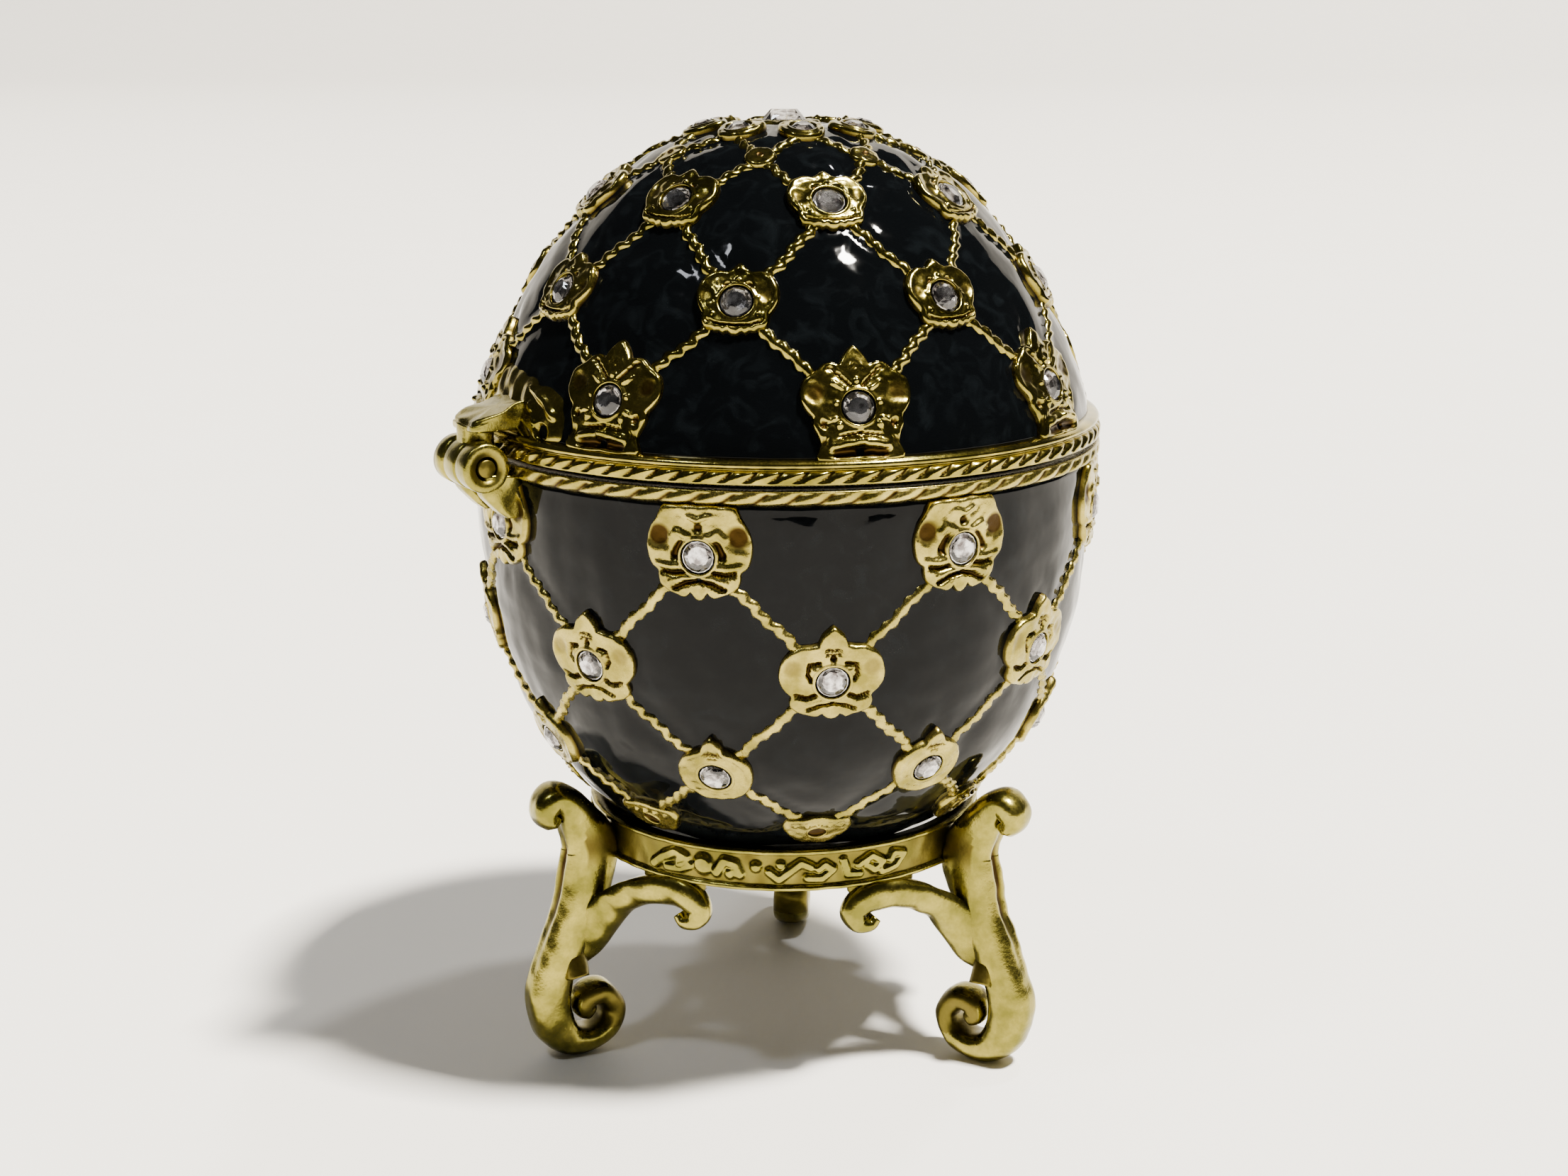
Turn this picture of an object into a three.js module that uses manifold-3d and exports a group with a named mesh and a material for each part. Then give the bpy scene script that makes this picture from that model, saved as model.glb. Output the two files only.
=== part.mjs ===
// A jewelled egg trinket box: a hollow enamelled egg in two halves, hinged at the rim, on a
// three-legged scroll stand. Millimetres, +Z up. The origin is on the floor below the centre of
// the stand, and -Y faces the gap between the two front legs.

import * as THREE from 'three';
import { mergeVertices } from 'three/addons/utils/BufferGeometryUtils.js';
import Module from 'manifold-3d';

const wasm = await Module();
wasm.setup();

// ---------------------------------------------------------------- driving dimensions

const SEAM_Z = 40.6;            // height of the joint between bowl and lid
const SEAM_GAP = 0.34;          // daylight between the two rims
const WALL = 1.5;               // thickness of the cast walls
const LID = { radius: 19.85, height: 19.5, round: 2.4, power: 1.27, up: 1 };
const BOWL = { radius: 19.78, height: 28.58, round: 2, power: 2.707, up: -1 };

const ROPE_RADIUS = 20.5;       // outside of the two rope mouldings
const LID_ROPE_TALL = 1.15;
const BOWL_ROPE_TALL = 0.93;

const PER_ROW = 8;              // medallions in a row
const STEP = 360 / PER_ROW;
const LID_TURN = 15.1;          // azimuth of the lid's first row, from the front
const BOWL_TURN = -11.8;        // azimuth of the bowl's first row

const RIB = { half: 0.5, proud: 0.42 };
const MEDALLION_PROUD = 0.6;
const PAD_PROUD = 0.5;          // where two ribs cross with no medallion
const FRET = 0.15;              // plain ledge between rope moulding and relief
const STONE = { radius: 0.88, table: 0.5, culet: 0.3, girdle: 0.55, top: 0.98, sides: 6 };
const TOP_STONE = { radius: 1.4, table: 0.8, culet: 0.35, girdle: 0.6, top: 1.25, sides: 8 };
const SEAT_CLEARANCE = 0.27;    // round each stone, in its seat
const BUTTON = { radius: 0.8, sides: 6, floor: 1.05 };   // the tiny stones round the crown
const BOSS = { foot: 2.4, rim: 2.1, proud: 0.55 };       // round the stone at the very top

const HINGE_AZIMUTH = -56.8;
const HINGE_RADIUS = 22.06;     // from the egg's axis to the pin
const HINGE_Z = 40.4;
const KNUCKLE_RADIUS = 1.6;
const BARREL_HALF = 2.45;       // half the length of the three knuckles
const LID_KNUCKLE_HALF = 0.8;
const KNUCKLE_GAP = 0.25;
const PIN_RADIUS = 0.55;
const BORE_RADIUS = 0.8;
const PIN_HEAD = { radius: 1.0, thick: 0.3, recess: 0.5 };

const BAND = {
  inner: 11.9, outer: 12.85, bottom: 13.4, top: 16.15, wire: 0.3, relief: 0.3, scrolls: 4, pitch: 23,
};
const LEG_AZIMUTHS = [-60, 60, 180];
const LEG_WIDTH = 2.7;
const LEG_BEVEL = 0.55;
const BRACKET = { inner: 12, thick: 1.5, flare: 1.2, fade: 1.3 };

// ---------------------------------------------------------------- shells of revolution

// One half of the egg. Its outline is (r / radius) ^ round + (w / height) ^ power = 1, where w is
// the distance from the seam, and s is the length along that outline from the seam.
class Shell {
  constructor({ radius, height, round, power, up }) {
    Object.assign(this, { radius, height, round, power, up });
    const count = 800;
    this.table = [];
    let length = 0;
    for (let i = 0; i <= count; i += 1) {
      const angle = (i / count) * (Math.PI / 2);
      const r = radius * (i === count ? 0 : Math.cos(angle)) ** (2 / round);
      const w = height * Math.sin(angle) ** (2 / power);
      const last = this.table.at(-1);
      if (last) length += Math.hypot(r - last.r, w - last.w);
      this.table.push({ r, w, s: length });
    }
  }

  thinner(amount) {
    const { radius, height, round, power, up } = this;
    return new Shell({ radius: radius - amount, height: height - amount, round, power, up });
  }

  // The outline's point at length s, with its outward normal.
  at(s) {
    const { table } = this;
    let low = 0;
    let high = table.length - 1;
    while (high - low > 1) {
      const middle = (low + high) >> 1;
      if (table[middle].s > s) high = middle;
      else low = middle;
    }
    const a = table[low];
    const b = table[high];
    const t = (s - a.s) / (b.s - a.s);
    const run = Math.hypot(b.r - a.r, b.w - a.w);
    return {
      r: a.r + (b.r - a.r) * t,
      w: a.w + (b.w - a.w) * t,
      normalR: (b.w - a.w) / run,
      normalW: (a.r - b.r) / run,
    };
  }

  lengthAtHeight(w) {
    return this.table.find((entry) => entry.w >= w).s;
  }

  lengthAtRadius(r) {
    return this.table.find((entry) => entry.r <= r).s;
  }

  // A place in space: azimuth in degrees from the front, s along the outline, lift off the surface.
  place(azimuth, s, lift) {
    const { r, w, normalR, normalW } = this.at(s);
    const angle = THREE.MathUtils.degToRad(azimuth);
    const out = r + lift * normalR;
    const z = SEAM_Z + this.up * (w + lift * normalW);
    return new THREE.Vector3(out * Math.sin(angle), -out * Math.cos(angle), z);
  }

  // Places on the outline, as [r, w], from a distance from the seam to the pole.
  outline(fromHeight, rows) {
    const start = this.lengthAtHeight(fromHeight);
    const span = this.table.at(-1).s - start;
    const points = [];
    for (let i = 0; i < rows; i += 1) {
      const { r, w } = this.at(start + (span * i) / rows);
      points.push([r, w]);
    }
    return [...points, [0, this.height]];
  }
}

const lidShell = new Shell(LID);
const bowlShell = new Shell(BOWL);

// ---------------------------------------------------------------- solids

function toSolid(geometry) {
  const bare = geometry.clone();
  bare.deleteAttribute('normal');
  bare.deleteAttribute('uv');
  const welded = mergeVertices(bare, 1e-4);
  const corners = welded.index.array;
  const kept = [];
  for (let i = 0; i < corners.length; i += 3) {
    const [a, b, c] = [corners[i], corners[i + 1], corners[i + 2]];
    if (a !== b && b !== c && c !== a) kept.push(a, b, c);
  }
  return new wasm.Manifold(new wasm.Mesh({
    numProp: 3,
    vertProperties: new Float32Array(welded.attributes.position.array),
    triVerts: new Uint32Array(kept),
  }));
}

function toGeometry(solid) {
  const mesh = solid.getMesh();
  const geometry = new THREE.BufferGeometry();
  geometry.setAttribute('position', new THREE.BufferAttribute(new Float32Array(mesh.vertProperties), 3));
  geometry.setIndex(new THREE.BufferAttribute(new Uint32Array(mesh.triVerts), 1));
  geometry.computeVertexNormals();
  return geometry;
}

function joined(solids) {
  return solids.reduce((whole, solid) => whole.add(solid));
}

// A closed ring or bowl, turned about +Z. Its columns start at the given azimuth.
function turned(points, columns, azimuth = 0) {
  const start = THREE.MathUtils.degToRad(azimuth);
  return new THREE.LatheGeometry(points, columns, start, Math.PI * 2).rotateX(Math.PI / 2);
}

// Moves every corner of a geometry with a rule from (x, y, z) to a Vector3.
function bent(geometry, rule) {
  const { position } = geometry.attributes;
  for (let i = 0; i < position.count; i += 1) {
    const moved = rule(position.getX(i), position.getY(i), position.getZ(i));
    position.setXYZ(i, moved.x, moved.y, moved.z);
  }
  return geometry;
}

// ---------------------------------------------------------------- relief

// The closed surface of one half of the egg: relief outside, plain inside. Corners are placed by
// azimuth and by length along the outline, and faces run anticlockwise in that flat map.
class Relief {
  constructor(shell) {
    this.shell = shell;
    this.places = [];
    this.map = [];
    this.corners = [];
  }

  // A corner on the shell, lifted off it.
  on(azimuth, s, lift = 0) {
    this.map.push({ azimuth, s });
    return this.places.push(this.shell.place(azimuth, s, lift)) - 1;
  }

  // A corner at a radius and a distance from the seam.
  at(azimuth, r, w) {
    const angle = THREE.MathUtils.degToRad(azimuth);
    const z = SEAM_Z + this.shell.up * w;
    this.map.push({ azimuth, s: w });
    return this.places.push(new THREE.Vector3(r * Math.sin(angle), -r * Math.cos(angle), z)) - 1;
  }

  face(a, b, c) {
    if (this.shell.up > 0) this.corners.push(a, b, c);
    else this.corners.push(a, c, b);
  }

  // Quads between two closed loops, the second one further from the seam.
  strip(near, far) {
    near.forEach((a, i) => {
      const next = (i + 1) % near.length;
      this.face(a, near[next], far[next]);
      this.face(a, far[next], far[i]);
    });
  }

  fan(centre, loop) {
    loop.forEach((a, i) => this.face(centre, a, loop[(i + 1) % loop.length]));
  }

  // Fills a loop, less an optional hole, with no corner of its own.
  fill(loop, flat, hole = [], flatHole = []) {
    const all = [...loop, ...hole];
    for (const [a, b, c] of THREE.ShapeUtils.triangulateShape(flat, hole.length ? [flatHole] : [])) {
      this.face(all[a], all[b], all[c]);
    }
  }

  solid() {
    const geometry = new THREE.BufferGeometry().setFromPoints(this.places);
    geometry.setIndex(this.corners);
    return toSolid(geometry);
  }
}

// How far a medallion's edge stands from its centre: an oval with a bud towards the pole, a pair
// of side lobes and a scalloped foot.
function swell(angle, { bud, lobe, foot }) {
  const bump = (centre, spread) => {
    const away = Math.atan2(Math.sin(angle - centre), Math.cos(angle - centre));
    return Math.exp(-((away / spread) ** 2));
  };
  return 0.88 + bud * bump(Math.PI / 2, 0.26) + foot * bump(-Math.PI / 2, 0.7)
    + lobe * (bump(Math.PI * 0.2, 0.45) + bump(Math.PI * 0.8, 0.45));
}

function ring(radius, sides, turn = 0) {
  const points = [];
  for (let i = 0; i < sides; i += 1) {
    const angle = turn + (i * Math.PI * 2) / sides;
    points.push(new THREE.Vector2(radius * Math.cos(angle), radius * Math.sin(angle)));
  }
  return points;
}

function rimPoint(row, up, angle) {
  const grown = swell(up * angle, row);
  return new THREE.Vector2(row.width / 2, row.height / 2)
    .multiply(new THREE.Vector2(Math.cos(angle), Math.sin(angle)))
    .multiplyScalar(grown);
}

// One crossing of the trellis: a medallion, or a small pad where two ribs simply cross. It keeps
// its ports, where ribs run in, and the arcs of its outline between them.
class Crossing {
  constructor(relief, rows, index, k, start) {
    const row = rows[index];
    Object.assign(this, { relief, row, azimuth: row.azimuth + k * STEP, outline: [], low: [], ridges: {} });
    const { r } = relief.shell.at(row.s);
    const half = THREE.MathUtils.degToRad(STEP / 2) * r;
    const ahead = rows[index + 1];
    const behind = rows[index - 1];
    const ports = [];
    if (ahead) ports.push(['aheadRight', half, ahead.s - row.s], ['aheadLeft', -half, ahead.s - row.s]);
    if (behind) ports.push(['backLeft', -half, behind.s - row.s], ['backRight', half, behind.s - row.s]);
    ports.forEach(([name, dx, dy], i) => {
      const angle = Math.atan2(dy, dx);
      const [, nextX, nextY] = ports[(i + 1) % ports.length];
      const turn = Math.PI * 2;
      const gap = (Math.atan2(nextY, nextX) - angle + turn * 2) % turn || turn;
      const centre = rimPoint(row, relief.shell.up, angle);
      const side = new THREE.Vector2(-Math.sin(angle), Math.cos(angle)).multiplyScalar(RIB.half);
      this.add(`${name}.right`, centre.clone().sub(side));
      this.ridges[name] = this.place(centre, RIB.proud);
      this.add(`${name}.left`, centre.clone().add(side));
      if (start !== undefined && name === 'aheadLeft') this.addSkirt(angle, gap, start);
      else this.addArc(angle, gap, gap > Math.PI ? row.tipFills : row.fills);
    });
    this.raise();
  }

  place({ x, y }, lift) {
    const s = this.row.s + y;
    const round = THREE.MathUtils.radToDeg(x / this.relief.shell.at(s).r);
    return this.relief.on(this.azimuth + round, s, lift);
  }

  add(name, point) {
    this.outline.push({ name, point });
    this.low.push(this.place(point, 0));
  }

  addArc(angle, gap, count) {
    for (let i = 1; i <= count; i += 1) {
      const name = gap > Math.PI && i * 2 === count + 1 ? 'tip' : 'edge';
      this.add(name, rimPoint(this.row, this.relief.shell.up, angle + (gap * i) / (count + 1)));
    }
  }

  // Down one side, along the rope moulding and up the other side.
  addSkirt(angle, gap, start) {
    const { row, relief } = this;
    const waist = [0.19, 0.31].map((part) => angle + gap * part);
    const back = [0.69, 0.81].map((part) => angle + gap * part);
    const foot = (sign) => new THREE.Vector2(sign * row.skirt, start - row.s);
    waist.forEach((turn) => this.add('edge', rimPoint(row, relief.shell.up, turn)));
    this.add('footLeft', foot(-1));
    this.add('footRight', foot(1));
    back.forEach((turn) => this.add('edge', rimPoint(row, relief.shell.up, turn)));
  }

  // The loop's low corners from one named place to another, against the outline's own direction.
  back(from, to) {
    const find = (name) => this.outline.findIndex((entry) => entry.name === name);
    const corners = [];
    const count = this.low.length;
    for (let i = find(from); ; i = (i + count - 1) % count) {
      corners.push(this.low[i]);
      if (i === find(to)) return corners;
    }
  }

  // Side walls, top face and the seat of the stone, or the button in its place.
  raise() {
    const { relief, row, outline, low } = this;
    const top = outline.map(({ point }) => this.place(point, row.proud));
    low.forEach((a, i) => {
      const next = (i + 1) % low.length;
      const port = outline[i].name.split('.');
      if (port[1] === 'right') {
        const ridge = this.ridges[port[0]];
        relief.face(a, ridge, top[i]);
        relief.face(ridge, low[next], top[next]);
        relief.face(ridge, top[next], top[i]);
      } else {
        relief.face(a, low[next], top[next]);
        relief.face(a, top[next], top[i]);
      }
    });
    const flat = outline.map(({ point }) => point);
    if (!row.seat) {
      relief.fill(top, flat);
      return;
    }
    const { radius, sides, floor } = row.seat;
    const edge = ring(radius, sides, Math.PI / 2);
    const rim = edge.map((point) => this.place(point, row.proud));
    const inner = edge.map((point) => this.place(point, floor));
    relief.fill(top, flat, rim, edge);
    relief.strip(rim, inner);
    relief.fill(inner, edge);
  }
}

// The two base lines and the ridge of a rib, as rows of corners from one crossing to the next.
class Rib {
  constructor(relief, from, to, lean, steps) {
    const [out, into] = lean > 0 ? ['aheadRight', 'backLeft'] : ['aheadLeft', 'backRight'];
    const end = (crossing, name) => crossing.back(name, name)[0];
    this.left = this.line(relief, end(from, `${out}.left`), end(to, `${into}.right`), steps, 0);
    this.right = this.line(relief, end(from, `${out}.right`), end(to, `${into}.left`), steps, 0);
    const ridge = this.line(relief, from.ridges[out], to.ridges[into], steps, RIB.proud);
    for (let i = 0; i < steps; i += 1) {
      const { left, right } = this;
      relief.face(right[i], right[i + 1], ridge[i + 1]);
      relief.face(right[i], ridge[i + 1], ridge[i]);
      relief.face(ridge[i], ridge[i + 1], left[i + 1]);
      relief.face(ridge[i], left[i + 1], left[i]);
    }
  }

  line(relief, from, to, steps, lift) {
    const a = relief.map[from];
    const b = relief.map[to];
    const turn = b.azimuth - a.azimuth - 360 * Math.round((b.azimuth - a.azimuth) / 360);
    const corners = [from];
    for (let i = 1; i < steps; i += 1) {
      const t = i / steps;
      corners.push(relief.on(a.azimuth + turn * t, a.s + (b.s - a.s) * t, lift));
    }
    corners.push(to);
    return corners;
  }
}

const around = (k) => ((k % PER_ROW) + PER_ROW) % PER_ROW;

// The trellis, its medallions and the cells between them. Returns the loops of corners at the
// seam's end and at the pole's end.
function carve(relief, rows, start, end) {
  const counts = [...Array(PER_ROW).keys()];
  const crossings = rows.map((row, i) => counts.map(
    (k) => new Crossing(relief, rows, i, k, i === 0 ? start : undefined),
  ));
  // Which crossing of the next row stands half a step to the right of crossing k.
  const rightOf = (i, k) => {
    const away = (rows[i].azimuth + STEP / 2 - rows[i + 1].azimuth) / STEP;
    return around(k + Math.round(away));
  };
  const ribs = rows.slice(0, -1).map((row, i) => counts.map((k) => {
    const from = crossings[i][k];
    const right = crossings[i + 1][rightOf(i, k)];
    const left = crossings[i + 1][around(rightOf(i, k) - 1)];
    const { steps } = rows[i + 1];
    return { right: new Rib(relief, from, right, 1, steps), left: new Rib(relief, from, left, -1, steps) };
  }));

  const nearLoop = [];
  const farLoop = [];
  const nearGaps = counts.map((k) => {
    const [a, b] = [crossings[0][k], crossings[0][around(k + 1)]];
    const [left, right] = [b.back('footLeft', 'footLeft')[0], a.back('footRight', 'footRight')[0]];
    const from = relief.map[right].azimuth;
    const span = STEP - (relief.map[right].azimuth - relief.map[a.back('footLeft', 'footLeft')[0]].azimuth);
    const gap = [1 / 3, 2 / 3].map((part) => relief.on(from + span * part, start));
    nearLoop.push(a.back('footLeft', 'footLeft')[0], right, ...gap);
    return [right, ...gap, left];
  });
  const last = rows.length - 1;
  counts.forEach((k) => {
    const { azimuth } = crossings[last][k];
    farLoop.push(relief.on(azimuth, end), relief.on(azimuth + STEP / 2, end));
  });

  const cell = (loop, azimuth, open) => {
    const spread = loop.map((corner) => relief.map[corner]);
    const low = Math.min(...spread.map(({ s }) => s));
    const high = Math.max(...spread.map(({ s }) => s));
    if (open) relief.fan(relief.on(azimuth, (low + high) / 2), loop);
    else {
      const unwrap = (a) => a - azimuth - 360 * Math.round((a - azimuth) / 360);
      relief.fill(loop, spread.map((corner) => new THREE.Vector2(unwrap(corner.azimuth), corner.s)));
    }
  };
  counts.forEach((k) => {
    // The cell that rests on the rope moulding.
    const right = crossings[0][around(k + 1)];
    const left = crossings[0][k];
    const top = crossings[1][rightOf(0, k)];
    cell([
      ...nearGaps[k],
      ...right.back('footLeft', 'aheadLeft.left').slice(1, -1),
      ...ribs[0][around(k + 1)].left.left,
      ...top.back('backRight.right', 'backLeft.left').slice(1, -1),
      ...ribs[0][k].right.right.toReversed(),
      ...left.back('aheadRight.right', 'footRight').slice(1, -1),
    ], left.azimuth + STEP / 2, true);
    // The diamonds between four crossings.
    for (let i = 0; i + 2 <= last; i += 1) {
      const bottom = crossings[i][k];
      const rightK = rightOf(i, k);
      const leftK = around(rightK - 1);
      const head = crossings[i + 2][around(rightOf(i + 1, leftK))];
      cell([
        ...bottom.back('aheadLeft.right', 'aheadRight.left').slice(1, -1),
        ...ribs[i][k].right.left,
        ...crossings[i + 1][rightK].back('backLeft.right', 'aheadLeft.left').slice(1, -1),
        ...ribs[i + 1][rightK].left.left,
        ...head.back('backRight.right', 'backLeft.left').slice(1, -1),
        ...ribs[i + 1][leftK].right.right.toReversed(),
        ...crossings[i + 1][leftK].back('aheadRight.right', 'backRight.left').slice(1, -1),
        ...ribs[i][k].left.right.toReversed(),
      ], bottom.azimuth, i + 2 < last);
    }
    // The cell that runs up to the loop round the pole.
    const bottom = crossings[last - 1][k];
    const rightK = rightOf(last - 1, k);
    const leftK = around(rightK - 1);
    cell([
      ...bottom.back('aheadLeft.right', 'aheadRight.left').slice(1, -1),
      ...ribs[last - 1][k].right.left,
      ...crossings[last][rightK].back('backLeft.right', 'tip').slice(1),
      farLoop[rightK * 2],
      farLoop[leftK * 2 + 1],
      farLoop[leftK * 2],
      ...crossings[last][leftK].back('tip', 'backRight.left').slice(0, -1),
      ...ribs[last - 1][k].left.right.toReversed(),
    ], bottom.azimuth, false);
  });
  return { nearLoop, farLoop };
}

// ---------------------------------------------------------------- lid and bowl

const seatOf = ({ radius, sides }) => (
  { radius: (radius + SEAT_CLEARANCE) / Math.cos(Math.PI / sides), sides, floor: 0 }
);
const JEWELLED = { proud: MEDALLION_PROUD, stone: STONE, seat: seatOf(STONE) };
const LARGE = { fills: 1, bud: 0.2, lobe: 0.13, foot: 0.1, ...JEWELLED };
const SMALL = { fills: 1, bud: 0.16, lobe: 0.1, foot: 0.06, ...JEWELLED };
const TINY = { fills: 1, tipFills: 5, bud: 0.1, lobe: 0.1, foot: 0.1, proud: MEDALLION_PROUD };
const PAD = { fills: 0, bud: 0, lobe: 0, foot: 0, proud: PAD_PROUD };

const lidFirst = LID_TURN;
const lidSecond = LID_TURN - STEP / 2;
const bowlFirst = BOWL_TURN;
const bowlSecond = BOWL_TURN + STEP / 2;

const lidAt = (w) => lidShell.lengthAtHeight(w);
const bowlAt = (w) => bowlShell.lengthAtHeight(w);

const LID_ROWS = [
  { azimuth: lidFirst, s: lidAt(4.2), width: 6.4, height: 6.6, skirt: 2.6, ...LARGE },
  { azimuth: lidSecond, s: lidAt(9.8), steps: 2, width: 4.9, height: 4.8, ...SMALL },
  { azimuth: lidFirst, s: lidAt(15.1), steps: 2, width: 4.6, height: 4.8, ...SMALL },
  { azimuth: lidSecond, s: lidShell.lengthAtRadius(8.3), steps: 1, width: 2, height: 2, ...PAD },
  { azimuth: lidFirst, s: lidShell.lengthAtRadius(5.1), steps: 1, width: 2.7, height: 2.5, seat: BUTTON, ...TINY },
];

const BOWL_ROWS = [
  { azimuth: bowlFirst, s: bowlAt(4.1), width: 6.3, height: 6.3, skirt: 2.7, ...LARGE },
  { azimuth: bowlSecond, s: bowlAt(11.6), steps: 2, width: 6.3, height: 6.4, ...LARGE },
  { azimuth: bowlFirst, s: bowlAt(18.2), steps: 2, width: 4.8, height: 5, ...SMALL },
  { azimuth: bowlSecond, s: bowlAt(22.6), steps: 1, width: 4.3, height: 2.6, ...TINY },
];

// Closes a shell past its pole: rows of loops that end in one corner on the axis.
function toPole(relief, loop, places, away) {
  const azimuths = loop.map((corner) => relief.map[corner].azimuth);
  let last = loop;
  for (const [r, w] of places.slice(0, -1)) {
    const next = azimuths.map((azimuth) => relief.at(azimuth, r, w));
    if (away) relief.strip(last, next);
    else relief.strip(next, last);
    last = next;
  }
  const pole = relief.at(0, 0, places.at(-1)[1]);
  last.forEach((a, i) => {
    const b = last[(i + 1) % last.length];
    if (away) relief.face(a, b, pole);
    else relief.face(b, a, pole);
  });
}

// Half of the egg with a wall of true thickness: the rope moulding and the plain inside run down
// from the first row of medallions, and the given places close the outside at the pole.
function half(shell, rows, ropeTall, end, cap) {
  const relief = new Relief(shell);
  const edge = SEAM_GAP / 2;
  const start = shell.lengthAtHeight(edge + ropeTall + FRET);
  const { nearLoop, farLoop } = carve(relief, rows, start, end);
  const inner = shell.thinner(WALL).outline(edge, 4);
  toPole(relief, nearLoop, [
    [ROPE_RADIUS - 0.3, edge + ropeTall],
    [ROPE_RADIUS, edge + ropeTall * 0.7],
    [ROPE_RADIUS, edge + ropeTall * 0.3],
    [ROPE_RADIUS - 0.35, edge],
    ...inner,
  ], false);
  toPole(relief, farLoop, cap, true);
  return relief.solid();
}

// ---------------------------------------------------------------- hinge

const hingeTurn = HINGE_AZIMUTH - 90;

// Puts a hinge part in place: x is outwards, y along the pin and z up from the pin's axis.
function atHinge(geometry) {
  geometry.translate(HINGE_RADIUS, 0, 0).rotateZ(THREE.MathUtils.degToRad(hingeTurn));
  return geometry.translate(0, 0, HINGE_Z);
}

// A round bar along the pin's axis, from y = from to y = to.
function barrel(radius, from, to, sides = 12) {
  const bar = new THREE.CylinderGeometry(radius, radius, to - from, sides);
  return atHinge(bar.rotateY(Math.PI / sides).translate(0, (from + to) / 2, 0));
}

// A block with the given side view, from y = -half to y = half.
function hingeBlock(points, half) {
  const shape = new THREE.Shape(points.map(([x, z]) => new THREE.Vector2(x, z)));
  const block = new THREE.ExtrudeGeometry(shape, { depth: half * 2, bevelEnabled: false });
  return atHinge(block.rotateX(Math.PI / 2).translate(0, half, 0));
}

const SWEEP = KNUCKLE_RADIUS + KNUCKLE_GAP;   // room for a knuckle to turn in
const bore = () => toSolid(barrel(BORE_RADIUS, -BARREL_HALF - 1, BARREL_HALF + 1));

// The lug on the lid: a sloping block over the barrel, and the middle knuckle below it.
function lidLug() {
  const block = hingeBlock([[-3.4, 2.1], [0.5, 2.1], [0.6, 2.9], [-1.6, 3.9], [-3.6, 4.2]], 1.85);
  const neck = hingeBlock([[-1.4, 0], [0.8, 0], [0.4, 2.3], [-1.4, 2.3]], LID_KNUCKLE_HALF);
  const knuckle = barrel(KNUCKLE_RADIUS, -LID_KNUCKLE_HALF, LID_KNUCKLE_HALF);
  return joined([toSolid(block), toSolid(neck), toSolid(knuckle)]);
}

// The bowl's plate below the barrel, with the two outer knuckles.
function bowlHinge() {
  const plate = hingeBlock([[-2.6, -3.2], [-1.3, -2.7], [0.5, -1.4], [0.5, -0.1], [-2.6, -0.1]], BARREL_HALF);
  const inner = LID_KNUCKLE_HALF + KNUCKLE_GAP;
  const middle = toSolid(barrel(SWEEP, -inner, inner));
  const near = toSolid(barrel(KNUCKLE_RADIUS, inner, BARREL_HALF));
  const far = toSolid(barrel(KNUCKLE_RADIUS, -BARREL_HALF, -inner));
  return joined([toSolid(plate), near, far]).subtract(middle);
}

function lid() {
  const seat = seatOf(TOP_STONE).radius;
  const shell = half(lidShell, LID_ROWS, LID_ROPE_TALL, lidShell.lengthAtRadius(BOSS.foot), [
    [BOSS.rim, LID.height + BOSS.proud],
    [seat, LID.height + BOSS.proud],
    [seat, LID.height],
    [0, LID.height],
  ]);
  const room = toSolid(barrel(SWEEP, -BARREL_HALF - KNUCKLE_GAP, BARREL_HALF + KNUCKLE_GAP));
  return shell.subtract(room).add(lidLug()).subtract(bore());
}

function bowl() {
  const end = bowlAt(25.6);
  const cap = [27.4, BOWL.height].map((w) => [bowlShell.at(bowlAt(w)).r, w]);
  const shell = half(bowlShell, BOWL_ROWS, BOWL_ROPE_TALL, end, cap);
  const depth = BARREL_HALF - PIN_HEAD.recess;
  const counterbore = toSolid(barrel(PIN_HEAD.radius + KNUCKLE_GAP, depth, BARREL_HALF + 1));
  return shell.add(bowlHinge()).subtract(bore()).subtract(counterbore);
}

// The pin, with a round head set into the near end of the barrel.
function pin() {
  const head = BARREL_HALF - PIN_HEAD.recess + 0.25;
  const shaft = toSolid(barrel(PIN_RADIUS, -BARREL_HALF, head, 8));
  return shaft.add(toSolid(barrel(PIN_HEAD.radius, head - 0.01, head + PIN_HEAD.thick)));
}

// ---------------------------------------------------------------- stand

// Evenly spaced points of an arc, from one angle to another in turns of a circle.
function arc(x, y, radius, from, to, steps) {
  const points = [];
  for (let i = 0; i <= steps; i += 1) {
    const angle = Math.PI * 2 * (from + ((to - from) * i) / steps);
    points.push(new THREE.Vector2(x + radius * Math.cos(angle), y + radius * Math.sin(angle)));
  }
  return points;
}

// Evenly spaced points of a smooth curve through a few places.
function sweep(places, steps) {
  return new THREE.SplineCurve(places.map(([x, y]) => new THREE.Vector2(x, y))).getSpacedPoints(steps);
}

// Side view of a leg: a scroll at the top, a cyma down to the floor and a scroll curled inwards.
function legOutline() {
  const root = BAND.outer - 0.6;
  const knob = arc(16.8, 17.25, 1.6, 0.54, -0.2, 7);
  const front = sweep([[16.15, 15.1], [16.1, 13.4], [16.6, 11], [17.6, 8.2], [18.7, 5.8], [19, 4], [18.5, 1.9]], 7);
  const pad = [new THREE.Vector2(17.3, 0), new THREE.Vector2(15.3, 0)];
  const curl = arc(14.5, 2.5, 2.15, -0.2, -0.92, 8);
  const back = sweep([[15.9, 5.3], [15.2, 7.4], [13.9, 10], [13, 12.2], [root, 13.6]], 4);
  return [...knob, ...front, ...pad, ...curl, ...back, new THREE.Vector2(root, BAND.top - 0.1)];
}

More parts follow.
